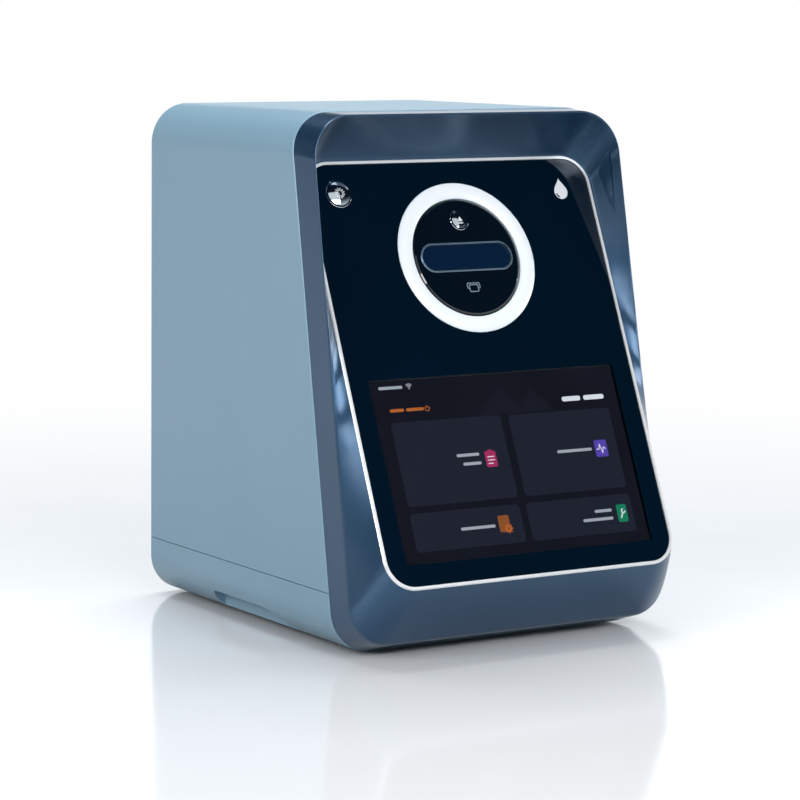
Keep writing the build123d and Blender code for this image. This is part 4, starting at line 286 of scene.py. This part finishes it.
def build_light_ring():
    """Milky acrylic, lit from below, with painted shade: its glow is whitest along its crown and
    cooler and dimmer towards its edges, standing in for the shading of its rounded face.
    """
    material, tree, shader = new_material(
        "lit_acrylic", Base_Color=colour("#e9f0f6"), Roughness=0.28, Coat_Weight=0.2,
        Emission_Strength=0.16)
    coordinates = add(tree, "ShaderNodeTexCoord")
    to_centre = add(tree, "ShaderNodeVectorMath", operation="DISTANCE")
    to_centre.inputs[1].default_value = PANEL @ Vector((0, HUB_CENTRE * MM, 0))
    past_crown = add(tree, "ShaderNodeMath", operation="SUBTRACT")
    past_crown.inputs[1].default_value = RING_CROWN * MM
    from_crown = add(tree, "ShaderNodeMath", operation="ABSOLUTE")
    span = fade(tree, RING_SHADE_START * MM, RING_SHADE_END * MM)
    links = tree.links
    links.new(coordinates.outputs["Object"], to_centre.inputs[0])
    links.new(to_centre.outputs["Value"], past_crown.inputs[0])
    links.new(past_crown.outputs["Value"], from_crown.inputs[0])
    links.new(from_crown.outputs["Value"], span.inputs["Value"])
    # Painted shade: the glow runs from white at the crown to a dimmer blue-grey at the edges
    tone = two_tones(tree, span.outputs["Result"], "#ffffff", "#b9cfe0")
    links.new(tone, shader.inputs["Emission Color"])
    return material


def build_lens():
    """Coated optical glass."""
    material, tree, shader = new_material("lens_glass", Transmission_Weight=0.9, IOR=1.6)
    grained = add(tree, "ShaderNodeGroup", node_tree=FINE_GRAIN)
    fill(grained, Drift=60.0)
    tone = grained.outputs["Tone"]
    tree.links.new(two_tones(tree, tone, "#cfd9f2", "#dfe8ff"), shader.inputs["Base Color"])
    tree.links.new(ranged(tree, tone, 0.02, 0.05), shader.inputs["Roughness"])
    return material


def build_window():
    """The clear part of the front glass, over the display."""
    material, tree, shader = new_material("clear_window", Transmission_Weight=1.0, IOR=1.45)
    handled = add(tree, "ShaderNodeGroup", node_tree=HANDLING)
    smear = handled.outputs["Smear"]
    tree.links.new(two_tones(tree, smear, "#f2f6fa", "#e6edf4"), shader.inputs["Base Color"])
    tree.links.new(ranged(tree, smear, 0.0, 0.03), shader.inputs["Roughness"])
    return material


SHELL = moulded("shell_paint", "#86abc0", "#8eb2c7", 0.40, grain=2600.0, depth=1.2e-5,
                Metallic=0.10, Coat_Weight=0.25, Coat_Roughness=0.30)
RIM = moulded("rim_paint", "#284a68", "#2f5373", 0.285, grain=3200.0, depth=2e-6, smear=0.05,
              Metallic=0.6, Coat_Weight=0.35, Coat_Roughness=0.16)
SLOT_RING = brushed("slot_ring", "#6f889c", "#8299ab", 0.20, fineness=600.0, depth=3e-6,
                    Metallic=0.7)
# Painted reflection: the polished trim is given a near-white colour that stands in for the bright
# light it mirrors
TRIM_PAINTED_REFLECTION = brushed("polished_trim_painted_reflection", "#f0f4f7", "#fbfcfd", 0.12, fineness=600.0, depth=3e-6,
               Metallic=0.25)
DOOR = moulded("door_gloss", "#031a33", "#052444", 0.12, grain=900.0, depth=2e-6, smear=0.05,
               Coat_Weight=0.5, Coat_Roughness=0.06)
CHROME = moulded("chrome", "#b9c4ce", "#cdd6de", 0.03, grain=500.0, depth=1e-6, smear=0.05,
                 Metallic=1.0)
BLACK_GLOSS = moulded("black_gloss", "#030d18", "#061420", 0.05, grain=900.0, depth=2e-6,
                      smear=0.05, Coat_Weight=0.6, Coat_Roughness=0.03)
BLACK_PRINT = moulded("black_print", "#010f1b", "#021729", 0.04, grain=600.0, depth=1e-6,
                      smear=0.04, Coat_Weight=0.4, Coat_Roughness=0.02)
SHEET_STEEL = brushed("zinc_sheet", "#8f979d", "#aab1b6", 0.34, Metallic=0.9)
CAST = moulded("cast_metal", "#70777d", "#888f94", 0.48, grain=900.0, depth=6e-5, Metallic=0.8)
BLACK_METAL = moulded("black_metal", "#15171a", "#202327", 0.42, grain=1500.0, Metallic=0.4)
STEEL = brushed("turned_steel", "#a9afb4", "#c8cdd1", 0.22, Metallic=1.0)
BRASS = brushed("brass", "#b08a45", "#cfa963", 0.26, Metallic=1.0)
BOARD = moulded("circuit_board", "#12402a", "#1b5a3a", 0.36, grain=700.0, Coat_Weight=0.3)
GEAR = moulded("gear_plastic", "#d9d6c8", "#e6e3d6", 0.40, grain=1200.0, depth=1e-5)
TRAY = moulded("tray_plastic", "#2a2f37", "#363c45", 0.38, grain=2200.0)
BLACK_PLASTIC = moulded("black_plastic", "#121417", "#1c1f23", 0.46, grain=1700.0, depth=3e-5)
REAR_PAINT = moulded("rear_powder_paint", "#8ba4b2", "#96afbc", 0.52, grain=1100.0, depth=4e-5,
                     Metallic=0.1)
RUBBER = moulded("rubber", "#0d0e10", "#16181a", 0.72, grain=900.0, depth=8e-5, smear=0.15)
DISPLAY_BACK = moulded("display_back", "#0a0b0f", "#101218", 0.30)
RING = build_light_ring()
LENS = build_lens()
WINDOW = build_window()
SCREEN = glowing("screen_black", "#14141c", "#181923")
TILE = glowing("screen_tile", "#20242f", "#232733")
FACET = glowing("screen_facet", "#1a1b24", "#1c1d27")
INK_WHITE = glowing("screen_white", "#dfe4ea", "#eef2f6")
INK_GREY = glowing("screen_grey", "#a4a9b2", "#b2b7c0")
INK_ORANGE = glowing("screen_orange", "#b5612c", "#c26a32")
INK_PURPLE = glowing("screen_purple", "#5440a8", "#6450bb")
INK_MAGENTA = glowing("screen_magenta", "#a52c5c", "#b53868")
INK_GREEN = glowing("screen_green", "#157a55", "#1f8a63")
INK_BROWN = glowing("screen_brown", "#8e4f26", "#9c5a2e")
PRINT_WHITE = moulded("white_print", "#e8edf2", "#f6f9fb", 0.34, grain=1500.0, depth=4e-6)
PRINT_SILVER = moulded("silver_print", "#8fa3b4", "#a3b5c4", 0.26, grain=1500.0, depth=4e-6,
                       Metallic=0.5)

FINISHES = {
    "shell": SHELL, "rim": RIM, "trim": TRIM_PAINTED_REFLECTION, "glass": BLACK_PRINT, "display": DISPLAY_BACK,
    "ring": RING, "black_gloss": BLACK_GLOSS, "chrome": CHROME, "sheet_steel": SHEET_STEEL,
    "cast": CAST, "black_metal": BLACK_METAL, "steel": STEEL, "brass": BRASS, "board": BOARD,
    "lens": LENS, "tray": TRAY, "gear": GEAR, "black_plastic": BLACK_PLASTIC,
    "rear_paint": REAR_PAINT, "rubber": RUBBER,
}
# Two nodes that look different from the rest of their material slot
NODE_FINISHES = {"tray_door": DOOR, "slot_trim": SLOT_RING}
for subpart in frame["record"]["subparts"]:
    finish = NODE_FINISHES.get(subpart["node"], FINISHES[subpart["material_slot"]])
    for material_slot in frame["nodes"][subpart["node"]].material_slots:
        material_slot.material = finish


# Modelling
def begin():
    """Leaves edit mode and clears the selection."""
    if bpy.context.object and bpy.context.object.mode != "OBJECT":
        bpy.ops.object.mode_set(mode="OBJECT")
    bpy.ops.object.select_all(action="DESELECT")


def pick(piece):
    """Makes a piece the only selected and the active one."""
    begin()
    piece.select_set(True)
    bpy.context.view_layer.objects.active = piece


def apply_place():
    """Puts the active piece's place into its mesh and leaves its object at the origin."""
    bpy.ops.object.transform_apply(location=True, rotation=True, scale=True)


def join(pieces):
    """One piece out of several."""
    begin()
    for piece in pieces:
        piece.select_set(True)
    bpy.context.view_layer.objects.active = pieces[0]
    bpy.ops.object.join()
    return bpy.context.object


def thicken(depth):
    """Draws the active flat piece out along its normal, by a depth in mm."""
    bpy.ops.object.mode_set(mode="EDIT")
    bpy.ops.mesh.select_all(action="SELECT")
    bpy.ops.mesh.extrude_region_move(TRANSFORM_OT_translate={"value": (0, 0, depth * MM)})
    bpy.ops.mesh.select_all(action="SELECT")
    bpy.ops.mesh.normals_make_consistent(inside=False)
    bpy.ops.object.mode_set(mode="OBJECT")


def card(x0, s0, x1, s1, low, high, radius, segments=5):
    """A thin card with round corners, lying in the panel's plane; sizes in mm."""
    begin()
    middle = ((x0 + x1) / 2 * MM, (s0 + s1) / 2 * MM, low * MM)
    bpy.ops.mesh.primitive_plane_add(size=1, location=middle)
    piece = bpy.context.object
    piece.scale = ((x1 - x0) * MM, (s1 - s0) * MM, 1)
    bpy.ops.object.transform_apply(location=False, rotation=False, scale=True)
    bpy.ops.object.mode_set(mode="EDIT")
    bpy.ops.mesh.select_all(action="SELECT")
    bpy.ops.mesh.bevel(offset=radius * MM, segments=segments, affect="VERTICES")
    thicken(high - low)
    apply_place()
    return piece


def disc(x, s, radius, low, high, sides=48):
    """A thin round card."""
    begin()
    middle = (x * MM, s * MM, (low + high) / 2 * MM)
    bpy.ops.mesh.primitive_cylinder_add(
        vertices=sides, radius=radius * MM, depth=(high - low) * MM, location=middle)
    apply_place()
    return bpy.context.object


def hoop(x, s, outer, inner, low, high, start=0, sweep=360, steps=48):
    """A flat ring, or the part of one that runs clockwise from start, in degrees."""
    begin()
    bpy.ops.mesh.primitive_plane_add(size=1, location=(0, 0, 0))
    piece = bpy.context.object
    piece.scale = ((outer - inner) * MM, (high - low) * MM, 1)
    piece.rotation_euler = (math.pi / 2, 0, 0)
    piece.location = ((x + (outer + inner) / 2) * MM, s * MM, (low + high) / 2 * MM)
    apply_place()
    whole = sweep == 360
    bpy.ops.object.mode_set(mode="EDIT")
    bpy.ops.mesh.select_all(action="SELECT")
    bpy.ops.mesh.spin(steps=steps, angle=math.radians(sweep), center=(x * MM, s * MM, 0),
                      axis=(0, 0, 1), use_auto_merge=whole)
    if whole:
        drop_inner_faces()
    bpy.ops.mesh.select_all(action="SELECT")
    bpy.ops.mesh.remove_doubles(threshold=0.002 * MM)
    bpy.ops.mesh.normals_make_consistent(inside=False)
    bpy.ops.object.mode_set(mode="OBJECT")
    if start:
        turn_about(piece, x, s, start)
    return piece


def drop_inner_faces():
    """Takes away the starting rectangle that a whole turn leaves inside the ring."""
    bpy.ops.mesh.select_all(action="DESELECT")
    bpy.ops.mesh.select_interior_faces()
    bpy.ops.mesh.delete(type="FACE")


def turn_about(piece, x, s, degrees):
    """Turns a piece in the panel's plane about a point."""
    pivot = Matrix.Translation((x * MM, s * MM, 0))
    turn = Matrix.Rotation(math.radians(degrees), 4, "Z")
    piece.matrix_world = pivot @ turn @ pivot.inverted()
    pick(piece)
    apply_place()


def bar(x0, s0, x1, s1, width, low, high):
    """A straight stroke between two points of the panel's plane."""
    length = math.hypot(x1 - x0, s1 - s0) + width
    mid_x, mid_s = (x0 + x1) / 2, (s0 + s1) / 2
    radius = min(0.4, width / 2.2)
    piece = card(mid_x - length / 2, mid_s - width / 2, mid_x + length / 2, mid_s + width / 2,
                 low, high, radius, segments=2)
    turn_about(piece, mid_x, mid_s, math.degrees(math.atan2(s1 - s0, x1 - x0)))
    return piece


def cut(piece, cutter):
    """Takes the cutter's volume out of a piece."""
    pick(piece)
    tool = piece.modifiers.new("cut", "BOOLEAN")
    tool.operation = "DIFFERENCE"
    tool.solver = "EXACT"
    tool.object = cutter
    bpy.ops.object.modifier_apply(modifier="cut")
    bpy.data.objects.remove(cutter)


def finish_on(piece, name, body, material):
    """Settles a piece made in the panel's plane onto the leaning panel and paints it."""
    pick(piece)
    piece.name = name
    piece.data.name = name
    piece.matrix_world = PANEL @ piece.matrix_world
    apply_place()
    piece.data.materials.clear()
    piece.data.materials.append(material)
    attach(piece, body)


# The front glass
def build_front_pane():
    """The bordered sheet, with openings for the ring, the power button and the window."""
    pane = card(-GLASS_WIDTH / 2, GLASS_FOOT, GLASS_WIDTH / 2, GLASS_FOOT + GLASS_LENGTH,
                GLASS_BACK, 0.0, GLASS_RADIUS, segments=14)
    cut(pane, disc(0, HUB_CENTRE, RING_HOLE, CUTTER_LOW, CUTTER_HIGH, sides=160))
    cut(pane, disc(POWER_X, POWER_RISE, POWER_HOLE, CUTTER_LOW, CUTTER_HIGH, sides=64))
    cut(pane, card(-SCREEN_X, SCREEN_LOW, SCREEN_X, SCREEN_HIGH, CUTTER_LOW, CUTTER_HIGH,
                   SCREEN_RADIUS))
    return pane


def build_window_pane():
    """The clear window, set flush in the border."""
    return card(-SCREEN_X, SCREEN_LOW, SCREEN_X, SCREEN_HIGH, WINDOW_BACK, 0.0, SCREEN_RADIUS)


# The picture on the display
def at(left, top):
    """A point of the picture in the panel's plane."""
    return PICTURE_LEFT + left, PICTURE_TOP - top


def ink_top(level):
    """Where the face of the picture's cards of a level lies, in mm from the glass's face."""
    return FIRST_FACE + LEVEL_STEP * level


def picture_card(left, top, right, bottom, level, radius):
    """A card of the picture between its upper left and its lower right corner."""
    x0, s1 = at(left, top)
    x1, s0 = at(right, bottom)
    return card(x0, s0, x1, s1, INK_FOOT, ink_top(level), radius)


def picture_bar(left0, top0, left1, top1, level):
    """A thin stroke of an icon."""
    x0, s0 = at(left0, top0)
    x1, s1 = at(left1, top1)
    return bar(x0, s0, x1, s1, STROKE, INK_FOOT, ink_top(level))


def label_bars(spans, height):
    """Plain bars, each given by its left, its right and its middle from the top."""
    return [picture_card(left, middle - height / 2, right, middle + height / 2, INK_LEVEL,
                         height * 0.42) for left, right, middle in spans]


def facet(corners):
    """A faint three-sided field behind the title row."""
    begin()
    bpy.ops.mesh.primitive_circle_add(vertices=3, radius=MM, fill_type="NGON")
    piece = bpy.context.object
    for vertex, (left, top) in zip(piece.data.vertices, corners):
        x, s = at(left, top)
        vertex.co = (x * MM, s * MM, INK_FOOT * MM)
    thicken(FACET_DEPTH)
    return piece


def wifi_sign(left, top):
    """A dot under three arcs."""
    x, s = at(left, top)
    high = ink_top(INK_LEVEL)
    parts = [disc(x, s, 0.55, INK_FOOT, high, sides=16)]
    for outer in (1.7, 2.8, 3.9):
        parts.append(hoop(x, s, outer, outer - 0.6, INK_FOOT, high, start=135, sweep=90, steps=10))
    return parts


def power_sign(left, top):
    """An open ring with a stroke in its gap."""
    x, s = at(left, top)
    high = ink_top(INK_LEVEL)
    ring = hoop(x, s, 2.2, 1.6, INK_FOOT, high, start=55, sweep=290, steps=24)
    return [ring, bar(x, s + 0.6, x, s + 2.2, 0.6, INK_FOOT, high)]


def wrench_sign(left, top):
    """An open jaw on a handle."""
    x, s = at(left, top)
    high = ink_top(SIGN_LEVEL)
    jaw = hoop(x + 1.2, s + 2.0, 2.0, 1.0, INK_FOOT, high, sweep=270, steps=18)
    return [jaw, bar(x + 0.2, s + 0.4, x - 1.6, s - 3.2, 1.1, INK_FOOT, high)]


def gear_sign(left, top, radius):
    """A ring with eight teeth."""
    x, s = at(left, top)
    high = ink_top(TOP_LEVEL)
    foot, reach = radius * 0.8, radius * 1.18
    parts = [hoop(x, s, radius, radius * 0.45, INK_FOOT, high, steps=24)]
    for tooth in range(8):
        angle = math.radians(45 * tooth)
        across, along = math.cos(angle), math.sin(angle)
        parts.append(bar(x + foot * across, s + foot * along,
                         x + reach * across, s + reach * along, radius * 0.34, INK_FOOT, high))
    return parts


def show(pieces, name, material):
    """Makes one named piece of the picture."""
    whole = join(pieces) if len(pieces) > 1 else pieces[0]
    finish_on(whole, name, "housing", material)


def build_picture():
    """The ground, its tiles, the title row and the labels."""
    show([picture_card(-1.4, -1.4, 218.4, 138.9, GROUND_LEVEL, 1.0)], "picture_ground", SCREEN)
    tiles = ((114.8, 31.8, 208, 95.8), (11, 31, 108, 95.7),
             (113, 101, 208.5, 130.5), (10.4, 101, 107, 130.5))
    show([picture_card(*tile, TILE_LEVEL, 3.0) for tile in tiles], "picture_tiles", TILE)
    show([facet([(88, 30.5), (112, 9), (134, 30.5)]),
          facet([(120, 30.5), (141, 12), (158, 30.5)])], "picture_facets", FACET)
    show(label_bars([(7, 27.7, 4), (152, 184, 63.6), (62, 82, 60), (66.3, 82.3, 66.9),
                     (173.7, 189.4, 112.7), (161.6, 189.3, 119), (52, 82.4, 116)], 2.3),
         "picture_labels", INK_GREY)
    show(label_bars([(167, 184, 22.5), (187, 206, 22.5)], 3.8), "picture_title", INK_WHITE)
    show(label_bars([(12.8, 25, 21.7), (27, 42.4, 21.7)], 2.4), "picture_account_label",
         INK_ORANGE)
    show(wifi_sign(33.5, 5.4), "picture_wifi_sign", INK_GREY)
    show(power_sign(45.4, 21.7), "picture_power_sign", INK_ORANGE)


def build_icons():
    """One icon on each of the four tiles."""
    show([picture_card(187, 57, 198.4, 70.4, INK_LEVEL, 1.6)], "icon_test", INK_PURPLE)
    trace = ((188.6, 64.2), (190.6, 64.2), (191.8, 60.4), (193.4, 67.4), (194.8, 62.8),
             (196.8, 64.2))
    show([picture_bar(*start, *end, SIGN_LEVEL) for start, end in zip(trace, trace[1:])],
         "icon_test_trace", INK_WHITE)
    show([picture_card(86.7, 58.4, 96.5, 70.8, INK_LEVEL, 1.2),
          picture_card(89.6, 57.3, 93.6, 60.0, SIGN_LEVEL, 0.7)], "icon_records", INK_MAGENTA)
    lines = ((62.8, 94.4), (65.4, 94.4), (68.0, 92.6))
    show([picture_bar(88.8, top, right, top, TOP_LEVEL) for top, right in lines],
         "icon_records_lines", INK_WHITE)
    show([picture_card(194, 109, 203, 122.8, INK_LEVEL, 1.2)], "icon_service", INK_GREEN)
    show(wrench_sign(198.6, 116.2), "icon_service_wrench", INK_WHITE)
    show([picture_card(85.7, 108.6, 95.4, 121.4, INK_LEVEL, 1.2)], "icon_setting", INK_BROWN)
    show(gear_sign(93.6, 119.0, 2.9), "icon_setting_gear", INK_ORANGE)


# Signs printed on the glass and the hub
def build_drop():
    """A plain drop, a round foot drawn up to a point, with a thin crescent cut out of it."""
    size, foot_x, middle = 17.0, 100.5, 368.0
    radius = size * 0.36 * MM
    begin()
    bpy.ops.mesh.primitive_circle_add(
        vertices=48, radius=radius, fill_type="NGON",
        location=(foot_x * MM, (middle - size * 0.14) * MM, 0.01 * MM))
    drop = bpy.context.object
    for vertex in drop.data.vertices:
        up = max(vertex.co.y / radius, 0)
        vertex.co.x *= 1 - 0.98 * up ** 3
        vertex.co.y += up ** 2.2 * size * 0.30 * MM
    thicken(0.08)
    apply_place()
    cut(drop, hoop(99.2, 364.4, 3.6, 2.4, -1, 1, start=260, sweep=80, steps=12))
    return drop


def outline(x0, s0, x1, s1, radius):
    """A rectangle drawn in lines on the hub's face."""
    width, low, high = 0.8, HUB_FACE, HUB_FACE + 0.06
    rectangle = card(x0, s0, x1, s1, low, high, radius)
    cut(rectangle, card(x0 + width, s0 + width, x1 - width, s1 - width, low - 1, high + 1,
                        radius - width))
    return rectangle


def build_cartridge_sign():
    """A cartridge standing in a tray, drawn in lines."""
    tray = outline(-6.0, 289.4, 6.0, 294.4, 1.4)
    cut(tray, card(-4.2, 288.0, 4.2, 293.0, 0, 2, 0.4))
    return join([tray, outline(-4.2, 286.8, 4.2, 293.0, 1.0)])


# Signs on the buttons
def raise_on_dome(piece, x, s, edge, dome, radius):
    """Lifts a flat drawing onto a button's face.

    The face stands edge mm out at its radius and dome mm more at its middle.
    """
    for vertex in piece.data.vertices:
        away = math.hypot(vertex.co.x - x * MM, vertex.co.y - s * MM) / (radius * MM)
        vertex.co.z += (edge + dome * (1 - min(away, 1) ** 2)) * MM


def build_power_burst():
    """Twelve short rays round the middle of the power button."""
    inner, outer = 2.2, 4.1
    rays = []
    for step in range(12):
        angle = math.radians(30 * step + 15)
        x, s = math.cos(angle), math.sin(angle)
        rays.append(bar(POWER_X + inner * x, POWER_RISE + inner * s,
                        POWER_X + outer * x, POWER_RISE + outer * s, STROKE, 0.0, 0.07))
    burst = join(rays)
    raise_on_dome(burst, POWER_X, POWER_RISE, edge=0.69, dome=1.3, radius=9.3)
    return burst


def build_eject_sign():
    """A wedge over a short bar, the common sign for opening a drawer."""
    depth = 0.16
    begin()
    bpy.ops.mesh.primitive_circle_add(vertices=3, radius=2.6 * MM, fill_type="NGON",
                                      location=(0, EJECT_RISE * MM, 0))
    wedge = bpy.context.object
    apply_place()
    thicken(depth)
    bar_rise = EJECT_RISE - 2.7
    sign = join([wedge, bar(-2.0, bar_rise, 2.0, bar_rise, 0.9, 0.0, depth)])
    raise_on_dome(sign, 0, EJECT_RISE, edge=1.29, dome=0.6, radius=6.5)
    return sign


# Floor, light and camera
def build_stage():
    """A pale floor round the object that runs out into plain white."""
    begin()
    bpy.ops.mesh.primitive_plane_add(size=FLOOR_SIZE, location=(0, 0, 0))
    floor = bpy.context.object
    floor.name = "floor"
    material, tree, shader = new_material("pale_floor")
    links = tree.links
    grained = add(tree, "ShaderNodeGroup", node_tree=FINE_GRAIN)
    tone = grained.outputs["Tone"]
    light_path = add(tree, "ShaderNodeLightPath")
    # Darker for light that bounces off it, so that it doesn't wash the object out from below
    bounced = add(tree, "ShaderNodeMix", data_type="RGBA")
    fill(bounced, B=colour("#3c4650"))
    links.new(light_path.outputs["Is Diffuse Ray"], bounced.inputs["Factor"])
    links.new(two_tones(tree, tone, "#eceef0", "#f1f2f4"), bounced.inputs["A"])
    links.new(bounced.outputs["Result"], shader.inputs["Base Color"])
    links.new(ranged(tree, tone, 0.10, 0.14), shader.inputs["Roughness"])
    white = add(tree, "ShaderNodeEmission")
    coordinates = add(tree, "ShaderNodeTexCoord")
    away = add(tree, "ShaderNodeVectorMath", operation="LENGTH")
    edge = fade(tree, FLOOR_FADE_START, FLOOR_FADE_END)
    by_camera_or_gloss = add(tree, "ShaderNodeMath", operation="ADD")
    direct = add(tree, "ShaderNodeMath", operation="ADD", use_clamp=True)
    seen = add(tree, "ShaderNodeMath", operation="MULTIPLY")
    choice = add(tree, "ShaderNodeMixShader")
    links.new(light_path.outputs["Is Camera Ray"], by_camera_or_gloss.inputs[0])
    links.new(light_path.outputs["Is Glossy Ray"], by_camera_or_gloss.inputs[1])
    links.new(by_camera_or_gloss.outputs["Value"], direct.inputs[0])
    links.new(light_path.outputs["Is Transmission Ray"], direct.inputs[1])
    links.new(coordinates.outputs["Object"], away.inputs[0])
    links.new(away.outputs["Value"], edge.inputs["Value"])
    links.new(edge.outputs["Result"], seen.inputs[0])
    links.new(direct.outputs["Value"], seen.inputs[1])
    links.new(seen.outputs["Value"], choice.inputs["Fac"])
    links.new(shader.outputs["BSDF"], choice.inputs[1])
    links.new(white.outputs["Emission"], choice.inputs[2])
    links.new(choice.outputs["Shader"], tree.nodes["Material Output"].inputs["Surface"])
    floor.data.materials.append(material)


def area_light(name, place, aim, width, height, power):
    """A white rectangular lamp that faces its aim."""
    data = bpy.data.lights.new(name, "AREA")
    data.shape = "RECTANGLE"
    data.size = width
    data.size_y = height
    data.energy = power
    lamp = bpy.data.objects.new(name, data)
    bpy.context.scene.collection.objects.link(lamp)
    lamp.location = place
    lamp.rotation_euler = (Vector(aim) - Vector(place)).to_track_quat("-Z", "Y").to_euler()


def build_world():
    """White behind the object, even soft light, and for gloss a pale horizon.

    What gloss mirrors is dark above the horizon and at the left.
    """
    world = bpy.data.worlds.new("studio")
    bpy.context.scene.world = world
    world.use_nodes = True
    tree = world.node_tree
    tree.nodes.clear()
    out = add(tree, "ShaderNodeOutputWorld")
    seen = add(tree, "ShaderNodeBackground")
    mirrored = add(tree, "ShaderNodeBackground")
    soft = add(tree, "ShaderNodeBackground")
    fill(seen, Color=(1, 1, 1, 1), Strength=1.0)
    fill(soft, Color=colour("#edf2f7"), Strength=0.34)
    coordinates = add(tree, "ShaderNodeTexCoord")
    split = add(tree, "ShaderNodeSeparateXYZ")
    above = fade(tree, 0.10, 0.42)
    leftward = fade(tree, -0.1, -0.7)
    dark = add(tree, "ShaderNodeMath", operation="MAXIMUM")
    light_path = add(tree, "ShaderNodeLightPath")
    by_gloss = add(tree, "ShaderNodeMixShader")
    by_camera = add(tree, "ShaderNodeMixShader")
    links = tree.links
    links.new(coordinates.outputs["Generated"], split.inputs["Vector"])
    links.new(split.outputs["Z"], above.inputs["Value"])
    links.new(split.outputs["X"], leftward.inputs["Value"])
    links.new(above.outputs["Result"], dark.inputs[0])
    links.new(leftward.outputs["Result"], dark.inputs[1])
    tone = two_tones(tree, dark.outputs["Value"], "#e6eef5", "#101a26")
    links.new(tone, mirrored.inputs["Color"])
    links.new(light_path.outputs["Is Glossy Ray"], by_gloss.inputs["Fac"])
    links.new(soft.outputs["Background"], by_gloss.inputs[1])
    links.new(mirrored.outputs["Background"], by_gloss.inputs[2])
    links.new(light_path.outputs["Is Camera Ray"], by_camera.inputs["Fac"])
    links.new(by_gloss.outputs["Shader"], by_camera.inputs[1])
    links.new(seen.outputs["Background"], by_camera.inputs[2])
    links.new(by_camera.outputs["Shader"], out.inputs["Surface"])


def build_camera():
    """The camera: yaw turns it about the vertical, pitch down, roll about its own view."""
    yaw, pitch, roll = (math.radians(a) for a in (CAMERA_YAW, CAMERA_PITCH, CAMERA_ROLL))
    forward = Vector((math.sin(yaw) * math.cos(pitch), math.cos(yaw) * math.cos(pitch),
                      -math.sin(pitch)))
    level_right = Vector((math.cos(yaw), -math.sin(yaw), 0))
    level_up = level_right.cross(forward)
    right = math.cos(roll) * level_right + math.sin(roll) * level_up
    up = -math.sin(roll) * level_right + math.cos(roll) * level_up
    lens = bpy.data.cameras.new("camera")
    lens.lens = CAMERA_LENS
    lens.sensor_width = SENSOR_WIDTH
    lens.clip_end = CAMERA_REACH
    camera = bpy.data.objects.new("camera", lens)
    bpy.context.scene.collection.objects.link(camera)
    turn = Matrix((right, up, -forward)).transposed().to_4x4()
    camera.matrix_world = Matrix.Translation(CAMERA_PLACE) @ turn
    bpy.context.scene.camera = camera


finish_on(build_front_pane(), "front_pane", "housing", BLACK_PRINT)
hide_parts("front_glass")
finish_on(build_window_pane(), "window_pane", "housing", WINDOW)
build_picture()
build_icons()
finish_on(build_drop(), "drop_sign", "housing", PRINT_WHITE)
finish_on(build_cartridge_sign(), "cartridge_sign", "housing", PRINT_SILVER)
finish_on(build_power_burst(), "power_burst", "power_button", PRINT_WHITE)
finish_on(build_eject_sign(), "eject_sign", "eject_button", PRINT_WHITE)
build_stage()
build_world()
for lamp in LAMPS:
    area_light(*lamp)
build_camera()
bpy.context.scene.view_settings.view_transform = "Standard"
